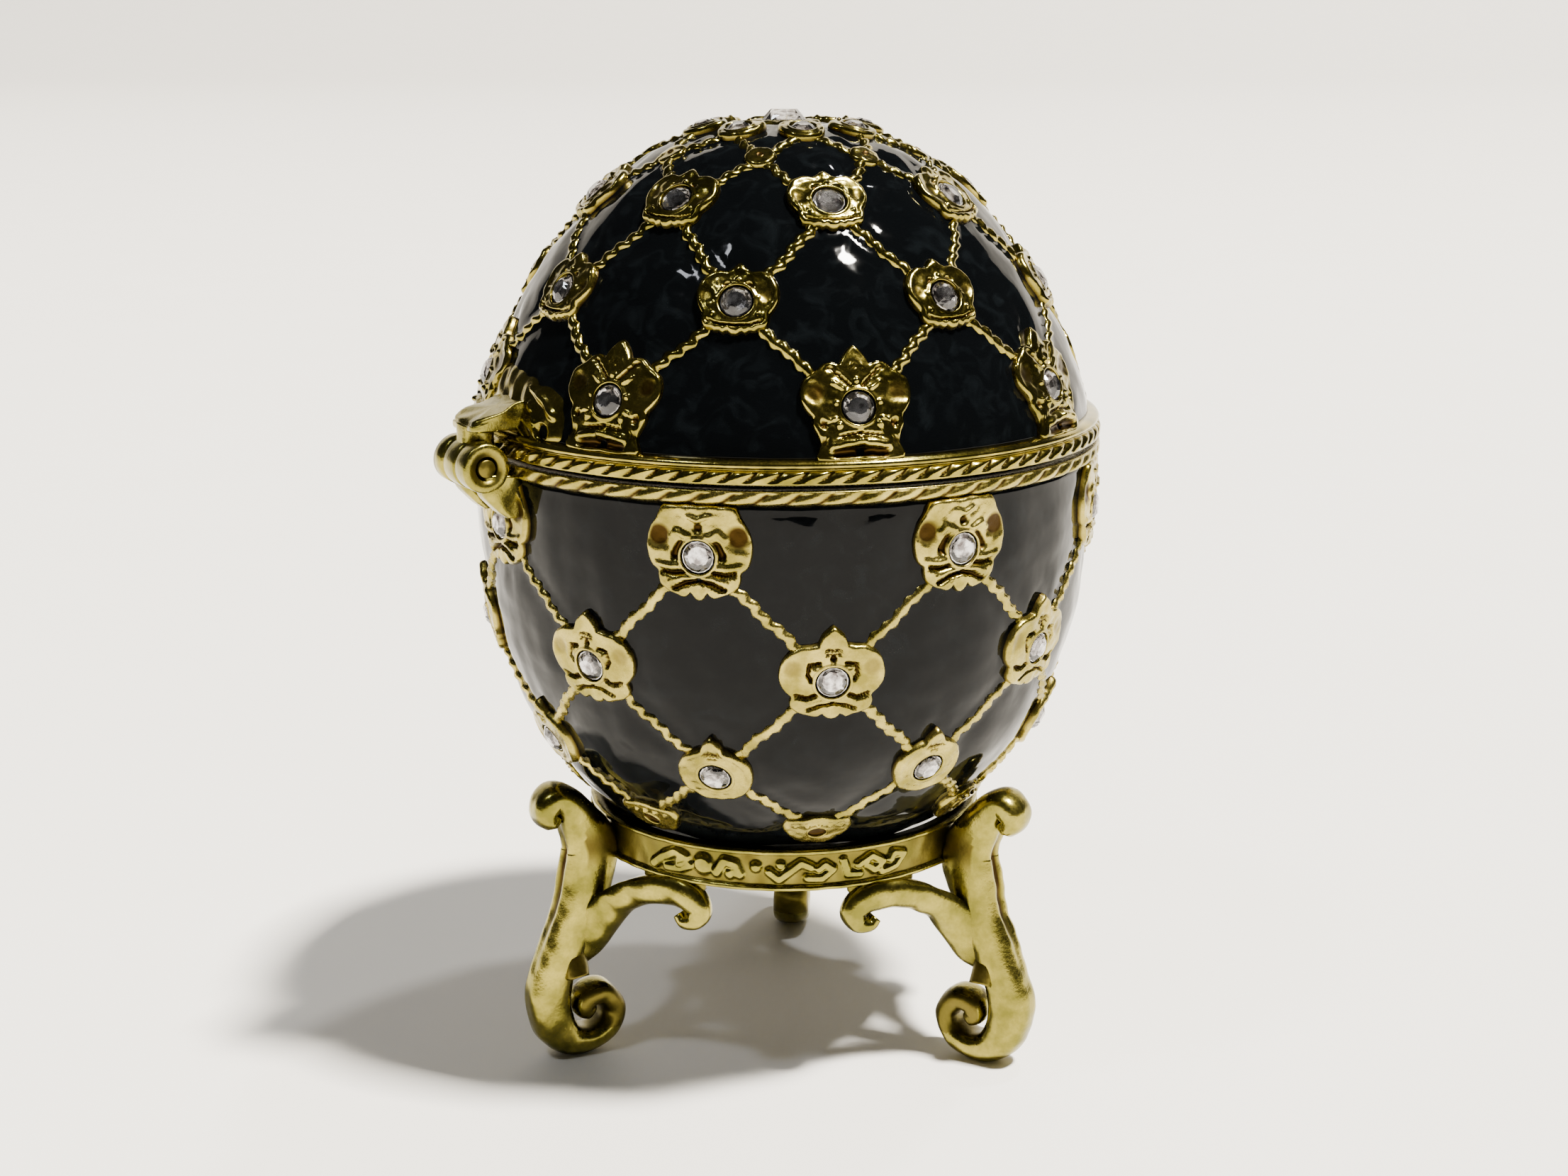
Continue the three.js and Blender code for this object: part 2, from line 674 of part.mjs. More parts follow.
function leg(azimuth) {
  const shape = new THREE.Shape(legOutline());
  const bar = new THREE.ExtrudeGeometry(shape, {
    depth: LEG_WIDTH - 2 * LEG_BEVEL,
    bevelThickness: LEG_BEVEL,
    bevelSize: LEG_BEVEL,
    bevelOffset: -LEG_BEVEL,
    bevelSegments: 1,
  });
  bar.rotateX(Math.PI / 2).translate(0, LEG_WIDTH / 2 - LEG_BEVEL, 0);
  return toSolid(bar.rotateZ(THREE.MathUtils.degToRad(azimuth - 90)));
}

// Bends a flat piece round the band: x runs round it, y up, and z outwards.
function wrapped(geometry, azimuth, radiusAt) {
  return bent(geometry, (x, y, z) => {
    const angle = THREE.MathUtils.degToRad(azimuth) + x / BAND.outer;
    const r = radiusAt(Math.abs(x)) + z;
    return new THREE.Vector3(r * Math.sin(angle), -r * Math.cos(angle), y);
  });
}

// A bracket that springs sideways from a leg, runs below the band and ends in a down-turned curl.
function bracket(azimuth, side) {
  const rise = sweep([[0.3, 7.4], [1.5, 9], [2.6, 10.3], [4.1, 11.2], [5.5, 11.45], [6.3, 11]], 6);
  const curl = arc(7.55, 11.5, 1.25, -0.4, 0, 5);
  const top = BAND.bottom + 0.2;
  const eye = arc(2.5, BAND.bottom - 0.1, 1, 0, -0.5, 4);
  const end = [new THREE.Vector2(8.8, top), new THREE.Vector2(3.5, top)];
  const outline = [...rise, ...curl, ...end, ...eye, new THREE.Vector2(0.3, top)];
  const shape = new THREE.Shape(outline.map(({ x, y }) => new THREE.Vector2(side * x, y)));
  const flat = new THREE.ExtrudeGeometry(shape, { depth: BRACKET.thick, bevelEnabled: false });
  const flare = (x) => BRACKET.inner + BRACKET.flare * Math.exp(-x / BRACKET.fade);
  return toSolid(wrapped(flat, azimuth, flare));
}

// A leaf scroll of the band's relief, and the bead that stands beside it.
function bandRelief(azimuth) {
  const middle = (BAND.top + BAND.bottom) / 2;
  const leaf = new THREE.Shape([
    new THREE.Vector2(-1.3, middle - 0.35),
    new THREE.Vector2(-0.4, middle - 0.7),
    new THREE.Vector2(1.2, middle + 0.3),
    new THREE.Vector2(0.5, middle + 0.75),
  ]);
  const bead = new THREE.Shape(ring(0.45, 5).map(({ x, y }) => new THREE.Vector2(x + 1.75, y + middle)));
  const depth = BAND.relief + 0.3;
  return [leaf, bead].map((shape) => {
    const slab = new THREE.ExtrudeGeometry(shape, { depth, bevelEnabled: false });
    return toSolid(wrapped(slab, azimuth, () => BAND.outer - 0.3));
  });
}

function stand() {
  const { inner, outer, bottom, top, wire } = BAND;
  const points = [
    [inner, bottom], [outer + wire, bottom], [outer + wire, bottom + 0.4], [outer, bottom + 0.55],
    [outer, top - 0.5], [outer + wire, top - 0.35], [outer + wire, top], [inner, top], [inner, bottom],
  ];
  const profile = points.map(([r, z]) => new THREE.Vector2(r, z));
  const solids = [toSolid(turned(profile, 24))];
  for (const azimuth of LEG_AZIMUTHS) {
    solids.push(leg(azimuth), bracket(azimuth, 1), bracket(azimuth, -1));
    for (let i = 0; i < BAND.scrolls; i += 1) {
      const spread = (i - (BAND.scrolls - 1) / 2) * BAND.pitch;
      solids.push(...bandRelief(azimuth + 60 + spread));
    }
  }
  return joined(solids);
}

// ---------------------------------------------------------------- stones

function stoneGeometry({ radius, table, culet, girdle, top, sides }) {
  const points = [[0, culet], [radius, girdle], [table, top], [0, top]];
  const profile = points.map(([r, z]) => new THREE.Vector2(r, z));
  return toGeometry(toSolid(turned(profile, sides)));
}

// Stands a stone on its shell: its own z is the shell's normal.
function set(stone, shell, azimuth, s) {
  const base = shell.place(azimuth, s, 0);
  const out = shell.place(azimuth, s, 1).sub(base);
  const up = shell.place(azimuth, s + shell.up * 0.01, 0).sub(base).normalize();
  const right = new THREE.Vector3().crossVectors(up, out).normalize();
  const basis = new THREE.Matrix4().makeBasis(right, new THREE.Vector3().crossVectors(out, right), out);
  stone.position.copy(base);
  stone.quaternion.setFromRotationMatrix(basis);
  return stone;
}

// ---------------------------------------------------------------- the object

const gold = new THREE.MeshStandardMaterial({ color: 0xa8994e, roughness: 0.3, metalness: 1 });
const enamelled = new THREE.MeshStandardMaterial({ color: 0x14161a, roughness: 0.12, metalness: 0.2 });
const crystal = new THREE.MeshStandardMaterial({ color: 0xe8e8ec, roughness: 0.05, metalness: 0 });

function named(name, geometry, material) {
  const mesh = new THREE.Mesh(geometry, material);
  mesh.name = name;
  return mesh;
}

const egg = new THREE.Group();
egg.add(named('stand', toGeometry(stand()), gold));
egg.add(named('egg_base', toGeometry(bowl()), enamelled));
egg.add(named('hinge_pin', toGeometry(pin()), gold));

const lidGroup = new THREE.Group();
lidGroup.add(named('egg_lid', toGeometry(lid()), enamelled));
egg.add(lidGroup);

const rowStone = stoneGeometry(STONE);
const addStones = (group, shell, rows, prefix) => {
  rows.filter((row) => row.stone).forEach((row, index) => {
    for (let k = 0; k < PER_ROW; k += 1) {
      const mesh = named(`${prefix}_stone_${index + 1}_${k + 1}`, rowStone, crystal);
      group.add(set(mesh, shell, row.azimuth + k * STEP, row.s));
    }
  });
};
addStones(egg, bowlShell, BOWL_ROWS, 'base');
addStones(lidGroup, lidShell, LID_ROWS, 'lid');

const crown = named('crown_stone', stoneGeometry(TOP_STONE), crystal);
crown.position.set(0, 0, SEAM_Z + LID.height);
lidGroup.add(crown);

export default egg;
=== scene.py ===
"""Looks of a jewelled egg trinket box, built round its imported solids.

A hollow cast egg in two hinged halves carries a trellis of twisted ribs, lobed medallions with
clear stones, and black enamel in the cells between them. It sits on a three-legged scroll stand.
Lengths in this file are millimetres until a mesh is made, and azimuths are degrees from the
front (-Y) towards +X.
"""

import logging
from dataclasses import dataclass, field
from enum import Enum
from typing import Optional, Sequence, Union

import bpy
import numpy as np
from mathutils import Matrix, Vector


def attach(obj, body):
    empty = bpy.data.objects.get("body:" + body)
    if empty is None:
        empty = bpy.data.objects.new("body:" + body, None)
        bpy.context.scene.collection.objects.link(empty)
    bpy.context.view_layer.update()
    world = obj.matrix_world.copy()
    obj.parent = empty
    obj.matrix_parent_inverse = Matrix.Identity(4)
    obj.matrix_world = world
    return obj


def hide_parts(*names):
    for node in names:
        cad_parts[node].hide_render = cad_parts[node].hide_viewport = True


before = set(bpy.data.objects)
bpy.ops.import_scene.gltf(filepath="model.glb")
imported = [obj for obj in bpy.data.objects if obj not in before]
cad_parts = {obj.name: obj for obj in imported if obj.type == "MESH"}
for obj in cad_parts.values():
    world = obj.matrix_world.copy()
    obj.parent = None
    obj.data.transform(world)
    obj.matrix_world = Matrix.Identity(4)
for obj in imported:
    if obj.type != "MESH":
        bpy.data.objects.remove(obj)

Array = np.ndarray
log = logging.getLogger("egg_box")

MM = 0.001                     # metres in a millimetre
PER_ROW = 8                    # medallions in a row
STEP = 360.0 / PER_ROW
SOLID_STONE_ROWS = 3           # rows on each half whose stones are solids of their own


class Body(Enum):
    """The two bodies that the pieces ride on."""

    BASE = "base"
    LID = "lid"


class Slot(Enum):
    """The record's material slots."""

    GOLD = "gold_tone_casting"
    ENAMEL = "black_enamel"
    STONE = "clear_stone"


# ------------------------------------------------------------------ arrays and meshes


def smooth(t: Array) -> Array:
    """The smooth step 3t^2 - 2t^3 of t held between 0 and 1."""
    held = np.clip(t, 0.0, 1.0)
    return held * held * (3.0 - 2.0 * held)


def ripples(points: Array, wavelength: float, seed: int, waves: int = 10) -> Array:
    """A gentle random swell: the mean of plane waves of one wavelength in random directions.

    Args:
        points: places in mm, with x, y and z along the last axis.
        wavelength: length of each wave in mm.
        seed: seed of the directions and phases.
        waves: how many waves are summed.

    Returns:
        A value between about -1 and 1 for each place.
    """
    source = np.random.default_rng(seed)
    way = source.normal(size=(waves, 3))
    way *= 2 * np.pi / (wavelength * np.linalg.norm(way, axis=1, keepdims=True))
    phase = source.uniform(0, 2 * np.pi, waves)
    total = np.zeros(points.shape[:-1])
    for k, shift in zip(way, phase):
        total += np.cos(points @ k + shift)
    return total * np.sqrt(2.0 / waves) / 1.6


def quads_of(rows: int, columns: int, wrap_rows: bool = False) -> Array:
    """Corner numbers of the quads of a grid whose columns close on themselves."""
    i = np.arange(rows if wrap_rows else rows - 1)[:, None]
    j = np.arange(columns)[None, :]
    below, above = i * columns, ((i + 1) % rows) * columns
    after = (j + 1) % columns
    return np.stack([below + j, below + after, above + after, above + j], axis=-1).reshape(-1, 4)


@dataclass
class Surface:
    """Closed mesh data: corners in mm, quads, triangles and each corner's darkness, patina and
    painted shade.
    """

    points: Array
    quads: Array
    triangles: Array
    patina_and_shade: Array

    def outward(self) -> "Surface":
        """Turns every face round where the signed volume is negative, and returns the surface."""
        q, t, p = self.quads, self.triangles, self.points
        corners = np.concatenate([q[:, [0, 1, 2]], q[:, [0, 2, 3]], t])
        a, b, c = p[corners[:, 0]], p[corners[:, 1]], p[corners[:, 2]]
        if np.einsum("ij,ij->i", np.cross(a, b), c).sum() < 0:
            self.quads, self.triangles = q[:, ::-1], t[:, ::-1]
        return self


def closed_grid(points: Array, patina_and_shade: Optional[Array] = None, ring: bool = False) -> Surface:
    """Closes a grid of places into a surface.

    Columns always join round. The end rows are closed by a fan to their own middle, or, for a
    ring, the last row joins the first.

    Args:
        points: places with the shape rows, columns, 3.
        patina_and_shade: darkness, patina and painted shade, with the shape rows, columns.
        ring: whether the rows join round as well.

    Returns:
        The closed surface with its faces outward.
    """
    rows, columns = points.shape[:2]
    shade = np.broadcast_to(0.0 if patina_and_shade is None else patina_and_shade, (rows, columns))
    flat, dark = points.reshape(-1, 3), shade.reshape(-1)
    fans = np.zeros((0, 3), int)
    if not ring:
        start, j = rows * columns, np.arange(columns)
        after = (j + 1) % columns
        first = np.stack([np.full(columns, start), after, j], axis=1)
        last = np.stack([np.full(columns, start + 1), j, after], axis=1)
        last[:, 1:] += (rows - 1) * columns
        fans = np.concatenate([first, last])
        flat = np.concatenate([flat, [points[0].mean(0), points[-1].mean(0)]])
        dark = np.concatenate([dark, [shade[0].mean(), shade[-1].mean()]])
    return Surface(flat, quads_of(rows, columns, ring), fans, dark).outward()


def joined(surfaces: Sequence[Surface]) -> Surface:
    """Several closed surfaces as one set of mesh data."""
    counts = np.cumsum([0] + [len(s.points) for s in surfaces])
    return Surface(
        np.concatenate([s.points for s in surfaces]),
        np.concatenate([s.quads + n for s, n in zip(surfaces, counts)]),
        np.concatenate([s.triangles + n for s, n in zip(surfaces, counts)]),
        np.concatenate([s.patina_and_shade for s in surfaces]),
    )


def curve_through(places: Sequence[Sequence[float]], count: int) -> Array:
    """Evenly spaced points of a smooth curve through a few places.

    Each stretch is the cubic whose end slopes are half the chord between its neighbours.

    Args:
        places: control values, one row each; columns may hold sizes as well as coordinates.
        count: how many rows to return.

    Returns:
        The values along the curve, evenly spaced by the length of the first two columns.
    """
    p = np.asarray(places, float)
    slope = np.empty_like(p)
    slope[1:-1] = (p[2:] - p[:-2]) / 2
    slope[0], slope[-1] = p[1] - p[0], p[-1] - p[-2]
    t = np.linspace(0, len(p) - 1, 40 * len(p))
    i = np.minimum(t.astype(int), len(p) - 2)
    u = (t - i)[:, None]
    fine = (
        (2 * u**3 - 3 * u**2 + 1) * p[i] + (u**3 - 2 * u**2 + u) * slope[i]
        + (3 * u**2 - 2 * u**3) * p[i + 1] + (u**3 - u**2) * slope[i + 1]
    )
    run = np.concatenate([[0], np.cumsum(np.hypot(*np.diff(fine[:, :2], axis=0).T))])
    even = np.linspace(0, run[-1], count)
    return np.stack([np.interp(even, run, column) for column in fine.T], axis=1)


def around_axis(azimuth: Array, radius: Array, height: Array) -> Array:
    """Places at an azimuth in degrees, a radius and a height."""
    turn = np.radians(azimuth)
    a, r, z = np.broadcast_arrays(turn, radius, height)
    return np.stack([r * np.sin(a), -r * np.cos(a), z], axis=-1)


# ------------------------------------------------------------------ finishes


def linear(colour: str) -> tuple[float, float, float, float]:
    """A colour written as #rrggbb in sRGB, as linear red, green, blue and alpha."""
    part = np.array([int(colour[i:i + 2], 16) for i in (1, 3, 5)]) / 255.0
    value = np.where(part <= 0.04045, part / 12.92, ((part + 0.055) / 1.055) ** 2.4)
    return (*map(float, value), 1.0)


NodeInput = Union[float, tuple, bpy.types.NodeSocket]


def add_node(
    tree: bpy.types.NodeTree, kind: str, inputs: dict[Union[str, int], NodeInput],
    **settings: object
) -> bpy.types.Node:
    """Adds one shader node with its settings and links.

    Args:
        tree: the material's node tree.
        kind: the node's type name.
        inputs: a value or a socket to link for each input, by name or number.
        **settings: the node's own properties.

    Returns:
        The new node.
    """
    made = tree.nodes.new(kind)
    for name, value in settings.items():
        setattr(made, name, value)
    for name, value in inputs.items():
        if isinstance(value, bpy.types.NodeSocket):
            tree.links.new(value, made.inputs[name])
        else:
            made.inputs[name].default_value = value
    return made


def new_material(name: str) -> tuple[bpy.types.Material, bpy.types.NodeTree, bpy.types.NodeSocket]:
    """An empty node material, its tree and the surface input of its output node."""
    material = bpy.data.materials.new(name)
    material.use_nodes = True
    tree = material.node_tree
    tree.nodes.clear()
    output = tree.nodes.new("ShaderNodeOutputMaterial")
    return material, tree, output.inputs["Surface"]


@dataclass(frozen=True)
class GoldPlate:
    """Thin gold-tone plating on a rough zinc casting, dipped and left unpolished.

    It gives the eye a pale, slightly green yellow that mirrors softly on the tops, fine grain
    where the casting's skin shows through, and a brown in the recesses and tucked places that
    is patina and painted shade together.
    """

    name: str
    bright: str = "#bfae5c"
    deep: str = "#7d7330"
    # Colour of the patina and painted shade, mixed in by the mesh's attribute.
    patina_and_shade: str = "#37280e"
    roughness: float = 0.26
    grain_mm: float = 0.16       # casting grain, drawn a little coarser than it is
    grain_depth_mm: float = 0.012
    cloud_mm: float = 2.2        # patches where the plating is thinner
    dirt_and_shade: float = 1.0

    def build(self) -> bpy.types.Material:
        """Builds the material: patina and painted shade from an attribute, grain and clouds from
        noise.
        """
        material, tree, surface = new_material(self.name)
        place = add_node(tree, "ShaderNodeTexCoord", {}).outputs["Object"]
        cloud = add_node(tree, "ShaderNodeTexNoise", {
            "Vector": place, "Scale": 1 / (self.cloud_mm * MM), "Detail": 4.0, "Roughness": 0.6})
        grain = add_node(tree, "ShaderNodeTexNoise", {
            "Vector": place, "Scale": 1 / (self.grain_mm * MM), "Detail": 2.0, "Roughness": 0.55})
        # The mesh's attribute: darker in recesses, joins, tucked places and insides, patina and
        # painted shade together.
        recess = add_node(tree, "ShaderNodeAttribute", {}, attribute_name="patina_and_shade")
        worn = add_node(tree, "ShaderNodeMapRange", {
            "Value": cloud.outputs["Fac"], "From Min": 0.35, "From Max": 0.68})
        plating = add_node(tree, "ShaderNodeMix", {
            "Factor": worn.outputs["Result"], 6: linear(self.deep), 7: linear(self.bright)},
            data_type="RGBA")
        speck = add_node(tree, "ShaderNodeMapRange", {
            "Value": grain.outputs["Fac"], "From Min": 0.25, "From Max": 0.6,
            "To Min": 0.35, "To Max": 0.0})
        broken = add_node(tree, "ShaderNodeMath", {
            0: cloud.outputs["Fac"], 1: recess.outputs["Fac"]}, operation="MULTIPLY_ADD")
        tree.links.new(recess.outputs["Fac"], broken.inputs[2])
        # How much of that brown each place takes: patina and painted shade, broken up by the
        # clouds.
        dirt_and_shade = add_node(tree, "ShaderNodeMapRange", {
            "Value": broken.outputs["Value"], "From Min": 0.35, "From Max": 1.25,
            "To Max": self.dirt_and_shade})
        speckled = add_node(tree, "ShaderNodeMix", {
            "Factor": speck.outputs["Result"], 6: plating.outputs[2], 7: linear(self.deep)},
            data_type="RGBA")
        colour = add_node(tree, "ShaderNodeMix", {
            "Factor": dirt_and_shade.outputs["Result"], 6: speckled.outputs[2], 7: linear(self.patina_and_shade)},
            data_type="RGBA")
        rough = add_node(tree, "ShaderNodeMath", {
            0: grain.outputs["Fac"], 1: 0.16, 2: self.roughness - 0.08}, operation="MULTIPLY_ADD")
        rough_dirt = add_node(tree, "ShaderNodeMath", {
            0: dirt_and_shade.outputs["Result"], 1: 0.2, 2: rough.outputs["Value"]},
            operation="MULTIPLY_ADD")
        bump = add_node(tree, "ShaderNodeBump", {
            "Strength": 1.0, "Distance": self.grain_depth_mm * MM, "Height": grain.outputs["Fac"]})
        shader = add_node(tree, "ShaderNodeBsdfPrincipled", {
            "Base Color": colour.outputs[2], "Metallic": 1.0,
            "Roughness": rough_dirt.outputs["Value"], "Normal": bump.outputs["Normal"]})
        tree.links.new(shader.outputs["BSDF"], surface)
        return material


@dataclass(frozen=True)
class BlackEnamel:
    """Cold enamel (black epoxy) poured into the cells, glossy, with faint dust and smears.

    Its index is set well below epoxy's usual 1.5, matched to how little it mirrors.
    """

    name: str = "black_cold_enamel"
    body: str = "#040506"
    smear: str = "#0a0d0f"
    roughness: float = 0.045
    index: float = 1.2
    smear_mm: float = 1.6
    sag_mm: float = 1.1          # shallow unevenness of the poured skin
    sag_depth_mm: float = 0.022

    def build(self) -> bpy.types.Material:
        """Builds the material: near black, with smears in colour and gloss and a shallow sag."""
        material, tree, surface = new_material(self.name)
        place = add_node(tree, "ShaderNodeTexCoord", {}).outputs["Object"]
        smear = add_node(tree, "ShaderNodeTexNoise", {
            "Vector": place, "Scale": 1 / (self.smear_mm * MM), "Detail": 6.0, "Distortion": 1.2})
        sag = add_node(tree, "ShaderNodeTexNoise", {
            "Vector": place, "Scale": 1 / (self.sag_mm * MM), "Detail": 1.0})
        amount = add_node(tree, "ShaderNodeMapRange", {
            "Value": smear.outputs["Fac"], "From Min": 0.5, "From Max": 0.75})
        colour = add_node(tree, "ShaderNodeMix", {
            "Factor": amount.outputs["Result"], 6: linear(self.body), 7: linear(self.smear)},
            data_type="RGBA")
        rough = add_node(tree, "ShaderNodeMath", {
            0: amount.outputs["Result"], 1: 0.05, 2: self.roughness}, operation="MULTIPLY_ADD")
        bump = add_node(tree, "ShaderNodeBump", {
            "Strength": 1.0, "Distance": self.sag_depth_mm * MM, "Height": sag.outputs["Fac"]})
        shader = add_node(tree, "ShaderNodeBsdfPrincipled", {
            "Base Color": colour.outputs[2], "Roughness": rough.outputs["Value"], "IOR": self.index,
            "Normal": bump.outputs["Normal"]})
        tree.links.new(shader.outputs["BSDF"], surface)
        return material


@dataclass(frozen=True)
class CutGlass:
    """Machine-cut lead glass: clear, sharp facets that split what they mirror."""

    name: str = "cut_lead_glass"
    tint: str = "#f6f3f4"
    ior: float = 1.58

    def build(self) -> bpy.types.Material:
        """Builds the material: smooth clear glass with a faint uneven tint."""
        material, tree, surface = new_material(self.name)
        place = add_node(tree, "ShaderNodeTexCoord", {}).outputs["Object"]
        cloud = add_node(tree, "ShaderNodeTexNoise", {"Vector": place, "Scale": 1 / (1.1 * MM)})
        colour = add_node(tree, "ShaderNodeMix", {
            "Factor": cloud.outputs["Fac"], 6: linear(self.tint), 7: linear("#ffffff")},
            data_type="RGBA")
        shader = add_node(tree, "ShaderNodeBsdfPrincipled", {
            "Base Color": colour.outputs[2], "Roughness": 0.01, "IOR": self.ior,
            "Transmission Weight": 1.0})
        tree.links.new(shader.outputs["BSDF"], surface)
        return material


@dataclass(frozen=True)
class MirrorFoil:
    """Vacuum-silvered foil behind a stone, lightly crazed and darker in its folds."""

    name: str = "silvered_foil"
    bright: str = "#dcdad8"
    dull: str = "#6c6665"

    def build(self) -> bpy.types.Material:
        """Builds the material: a mirror that dulls in fine patches."""
        material, tree, surface = new_material(self.name)
        place = add_node(tree, "ShaderNodeTexCoord", {}).outputs["Object"]
        craze = add_node(tree, "ShaderNodeTexNoise", {
            "Vector": place, "Scale": 1 / (0.45 * MM), "Detail": 3.0})
        dull = add_node(tree, "ShaderNodeMapRange", {
            "Value": craze.outputs["Fac"], "From Min": 0.42, "From Max": 0.66})
        colour = add_node(tree, "ShaderNodeMix", {
            "Factor": dull.outputs["Result"], 6: linear(self.bright), 7: linear(self.dull)},
            data_type="RGBA")
        shader = add_node(tree, "ShaderNodeBsdfPrincipled", {
            "Base Color": colour.outputs[2], "Metallic": 1.0, "Roughness": 0.12})
        tree.links.new(shader.outputs["BSDF"], surface)
        return material


@dataclass(frozen=True)
class PalePaper:
    """Smooth off-white card, the sweep that the box stands on."""

    name: str = "off_white_card"
    colour: str = "#e9e6df"

    def build(self) -> bpy.types.Material:
        """Builds the material: matt card with a very faint mottle."""
        material, tree, surface = new_material(self.name)
        place = add_node(tree, "ShaderNodeTexCoord", {}).outputs["Object"]
        mottle = add_node(tree, "ShaderNodeTexNoise", {"Vector": place, "Scale": 40.0})
        colour = add_node(tree, "ShaderNodeMix", {
            "Factor": mottle.outputs["Fac"], 6: linear(self.colour), 7: linear("#ece9e4")},
            data_type="RGBA")
        shader = add_node(tree, "ShaderNodeBsdfPrincipled", {
            "Base Color": colour.outputs[2], "Roughness": 0.75})
        tree.links.new(shader.outputs["BSDF"], surface)
        return material


@dataclass
class Finishes:
    """Every finish of the box, built once."""

    # The lid's copy of the plating is coloured darker (painted shade) and the bowl's paler (painted
    # light), though both halves are one plating.
    lid_gold_painted_shade: bpy.types.Material = field(default_factory=lambda: GoldPlate(
        "gold_plate_painted_shade", bright="#b3a24c", deep="#6c6426", roughness=0.16,
        grain_depth_mm=0.006).build())
    bowl_gold_painted_light: bpy.types.Material = field(default_factory=lambda: GoldPlate(
        "gold_plate_painted_light", grain_depth_mm=0.014).build())
    stand_gold: bpy.types.Material = field(default_factory=lambda: GoldPlate(
        "cast_gold_plate", bright="#a69a48", deep="#6b6628", roughness=0.24,
        grain_mm=0.2).build())
    enamel: bpy.types.Material = field(default_factory=lambda: BlackEnamel().build())
    glass: bpy.types.Material = field(default_factory=lambda: CutGlass().build())
    foil: bpy.types.Material = field(default_factory=lambda: MirrorFoil().build())


def make_piece(
    name: str, surface: Surface, material: bpy.types.Material, body: Body,
    stands_for: Sequence[str] = (), faceted: bool = False,
) -> bpy.types.Object:
    """Turns mesh data into a piece of the box and fixes it to its body.

    Args:
        name: the piece's name.
        surface: closed mesh data in mm.
        material: the finish.
        body: the body that the piece rides on.
        stands_for: solids that this piece is shown in place of.
        faceted: whether the faces are left flat, as on a cut stone.

    Returns:
        The new object.
    """
    mesh = bpy.data.meshes.new(name)
    quads, triangles = surface.quads, surface.triangles
    corners = np.concatenate([quads.reshape(-1), triangles.reshape(-1)]).astype(np.int32)
    starts = np.concatenate([
        np.arange(len(quads)) * 4, len(quads) * 4 + np.arange(len(triangles)) * 3]).astype(np.int32)
    mesh.vertices.add(len(surface.points))
    mesh.vertices.foreach_set("co", (surface.points * MM).astype(np.float32).reshape(-1))
    mesh.loops.add(len(corners))
    mesh.loops.foreach_set("vertex_index", corners)
    mesh.polygons.add(len(starts))
    mesh.polygons.foreach_set("loop_start", starts)
    mesh.update(calc_edges=True)
    mesh.validate()
    # Per-corner darkness for the gold: patina and painted shade.
    shade = mesh.attributes.new("patina_and_shade", "FLOAT", "POINT")
    shade.data.foreach_set("value", surface.patina_and_shade.astype(np.float32))
    mesh.polygons.foreach_set("use_smooth", np.full(len(mesh.polygons), not faceted))
    mesh.materials.append(material)
    piece = bpy.data.objects.new(name, mesh)
    bpy.context.scene.collection.objects.link(piece)
    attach(piece, body.value)
    if stands_for:
        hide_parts(*stands_for)
    log.info("%s: %d faces on %s", name, len(mesh.polygons), body.value)
    return piece


# ------------------------------------------------------------------ the egg's two shells


@dataclass
class EggShell:
    """One half of the egg's outline: (r / radius)^roundness + (w / height)^power = 1.

    w is the distance from the seam and s the length along the outline from the seam.
    """

    radius: float
    height: float
    roundness: float
    power: float
    up: int
    seam: float = 40.6

    def __post_init__(self) -> None:
        """Works out the table of radius, distance and length."""
        angle = np.linspace(0, np.pi / 2, 1601)
        self.r = self.radius * np.clip(np.cos(angle), 0, 1) ** (2 / self.roundness)
        self.w = self.height * np.sin(angle) ** (2 / self.power)
        self.r[-1] = 0.0
        step = np.hypot(np.diff(self.r), np.diff(self.w))
        self.s = np.concatenate([[0], np.cumsum(step)])
        self.slope_r = np.gradient(self.r, self.s)
        self.slope_w = np.gradient(self.w, self.s)

    def at_height(self, w: float) -> float:
        """Length along the outline at a distance from the seam."""
        return float(np.interp(w, self.w, self.s))

    def at_radius(self, r: float) -> float:
        """Length along the outline at a radius."""
        return float(np.interp(-r, -self.r, self.s))

    def radius_at(self, s: Array) -> Array:
        """Radius at a length along the outline."""
        return np.interp(s, self.s, self.r)

    def place(self, azimuth: Array, s: Array, lift: Array) -> Array:
        """Places at an azimuth, a length along the outline and a lift off the surface."""
        r, w = np.interp(s, self.s, self.r), np.interp(s, self.s, self.w)
        tr, tw = np.interp(s, self.s, self.slope_r), np.interp(s, self.s, self.slope_w)
        length = np.maximum(np.hypot(tr, tw), 1e-9)
        out = r + lift * tw / length
        return around_axis(azimuth, out, self.seam + self.up * (w - lift * tr / length))

    def thinner(self, amount: float) -> "EggShell":
        """The same half, smaller by a wall."""
        return EggShell(
            self.radius - amount, self.height - amount, self.roundness, self.power, self.up)


@dataclass(frozen=True)
class Stroke:
    """A raised or sunk line of a relief: a polyline with a half width and a height, in mm."""

    path: tuple[tuple[float, float], ...]
    half: float
    lift: float
    mirrored: bool = False


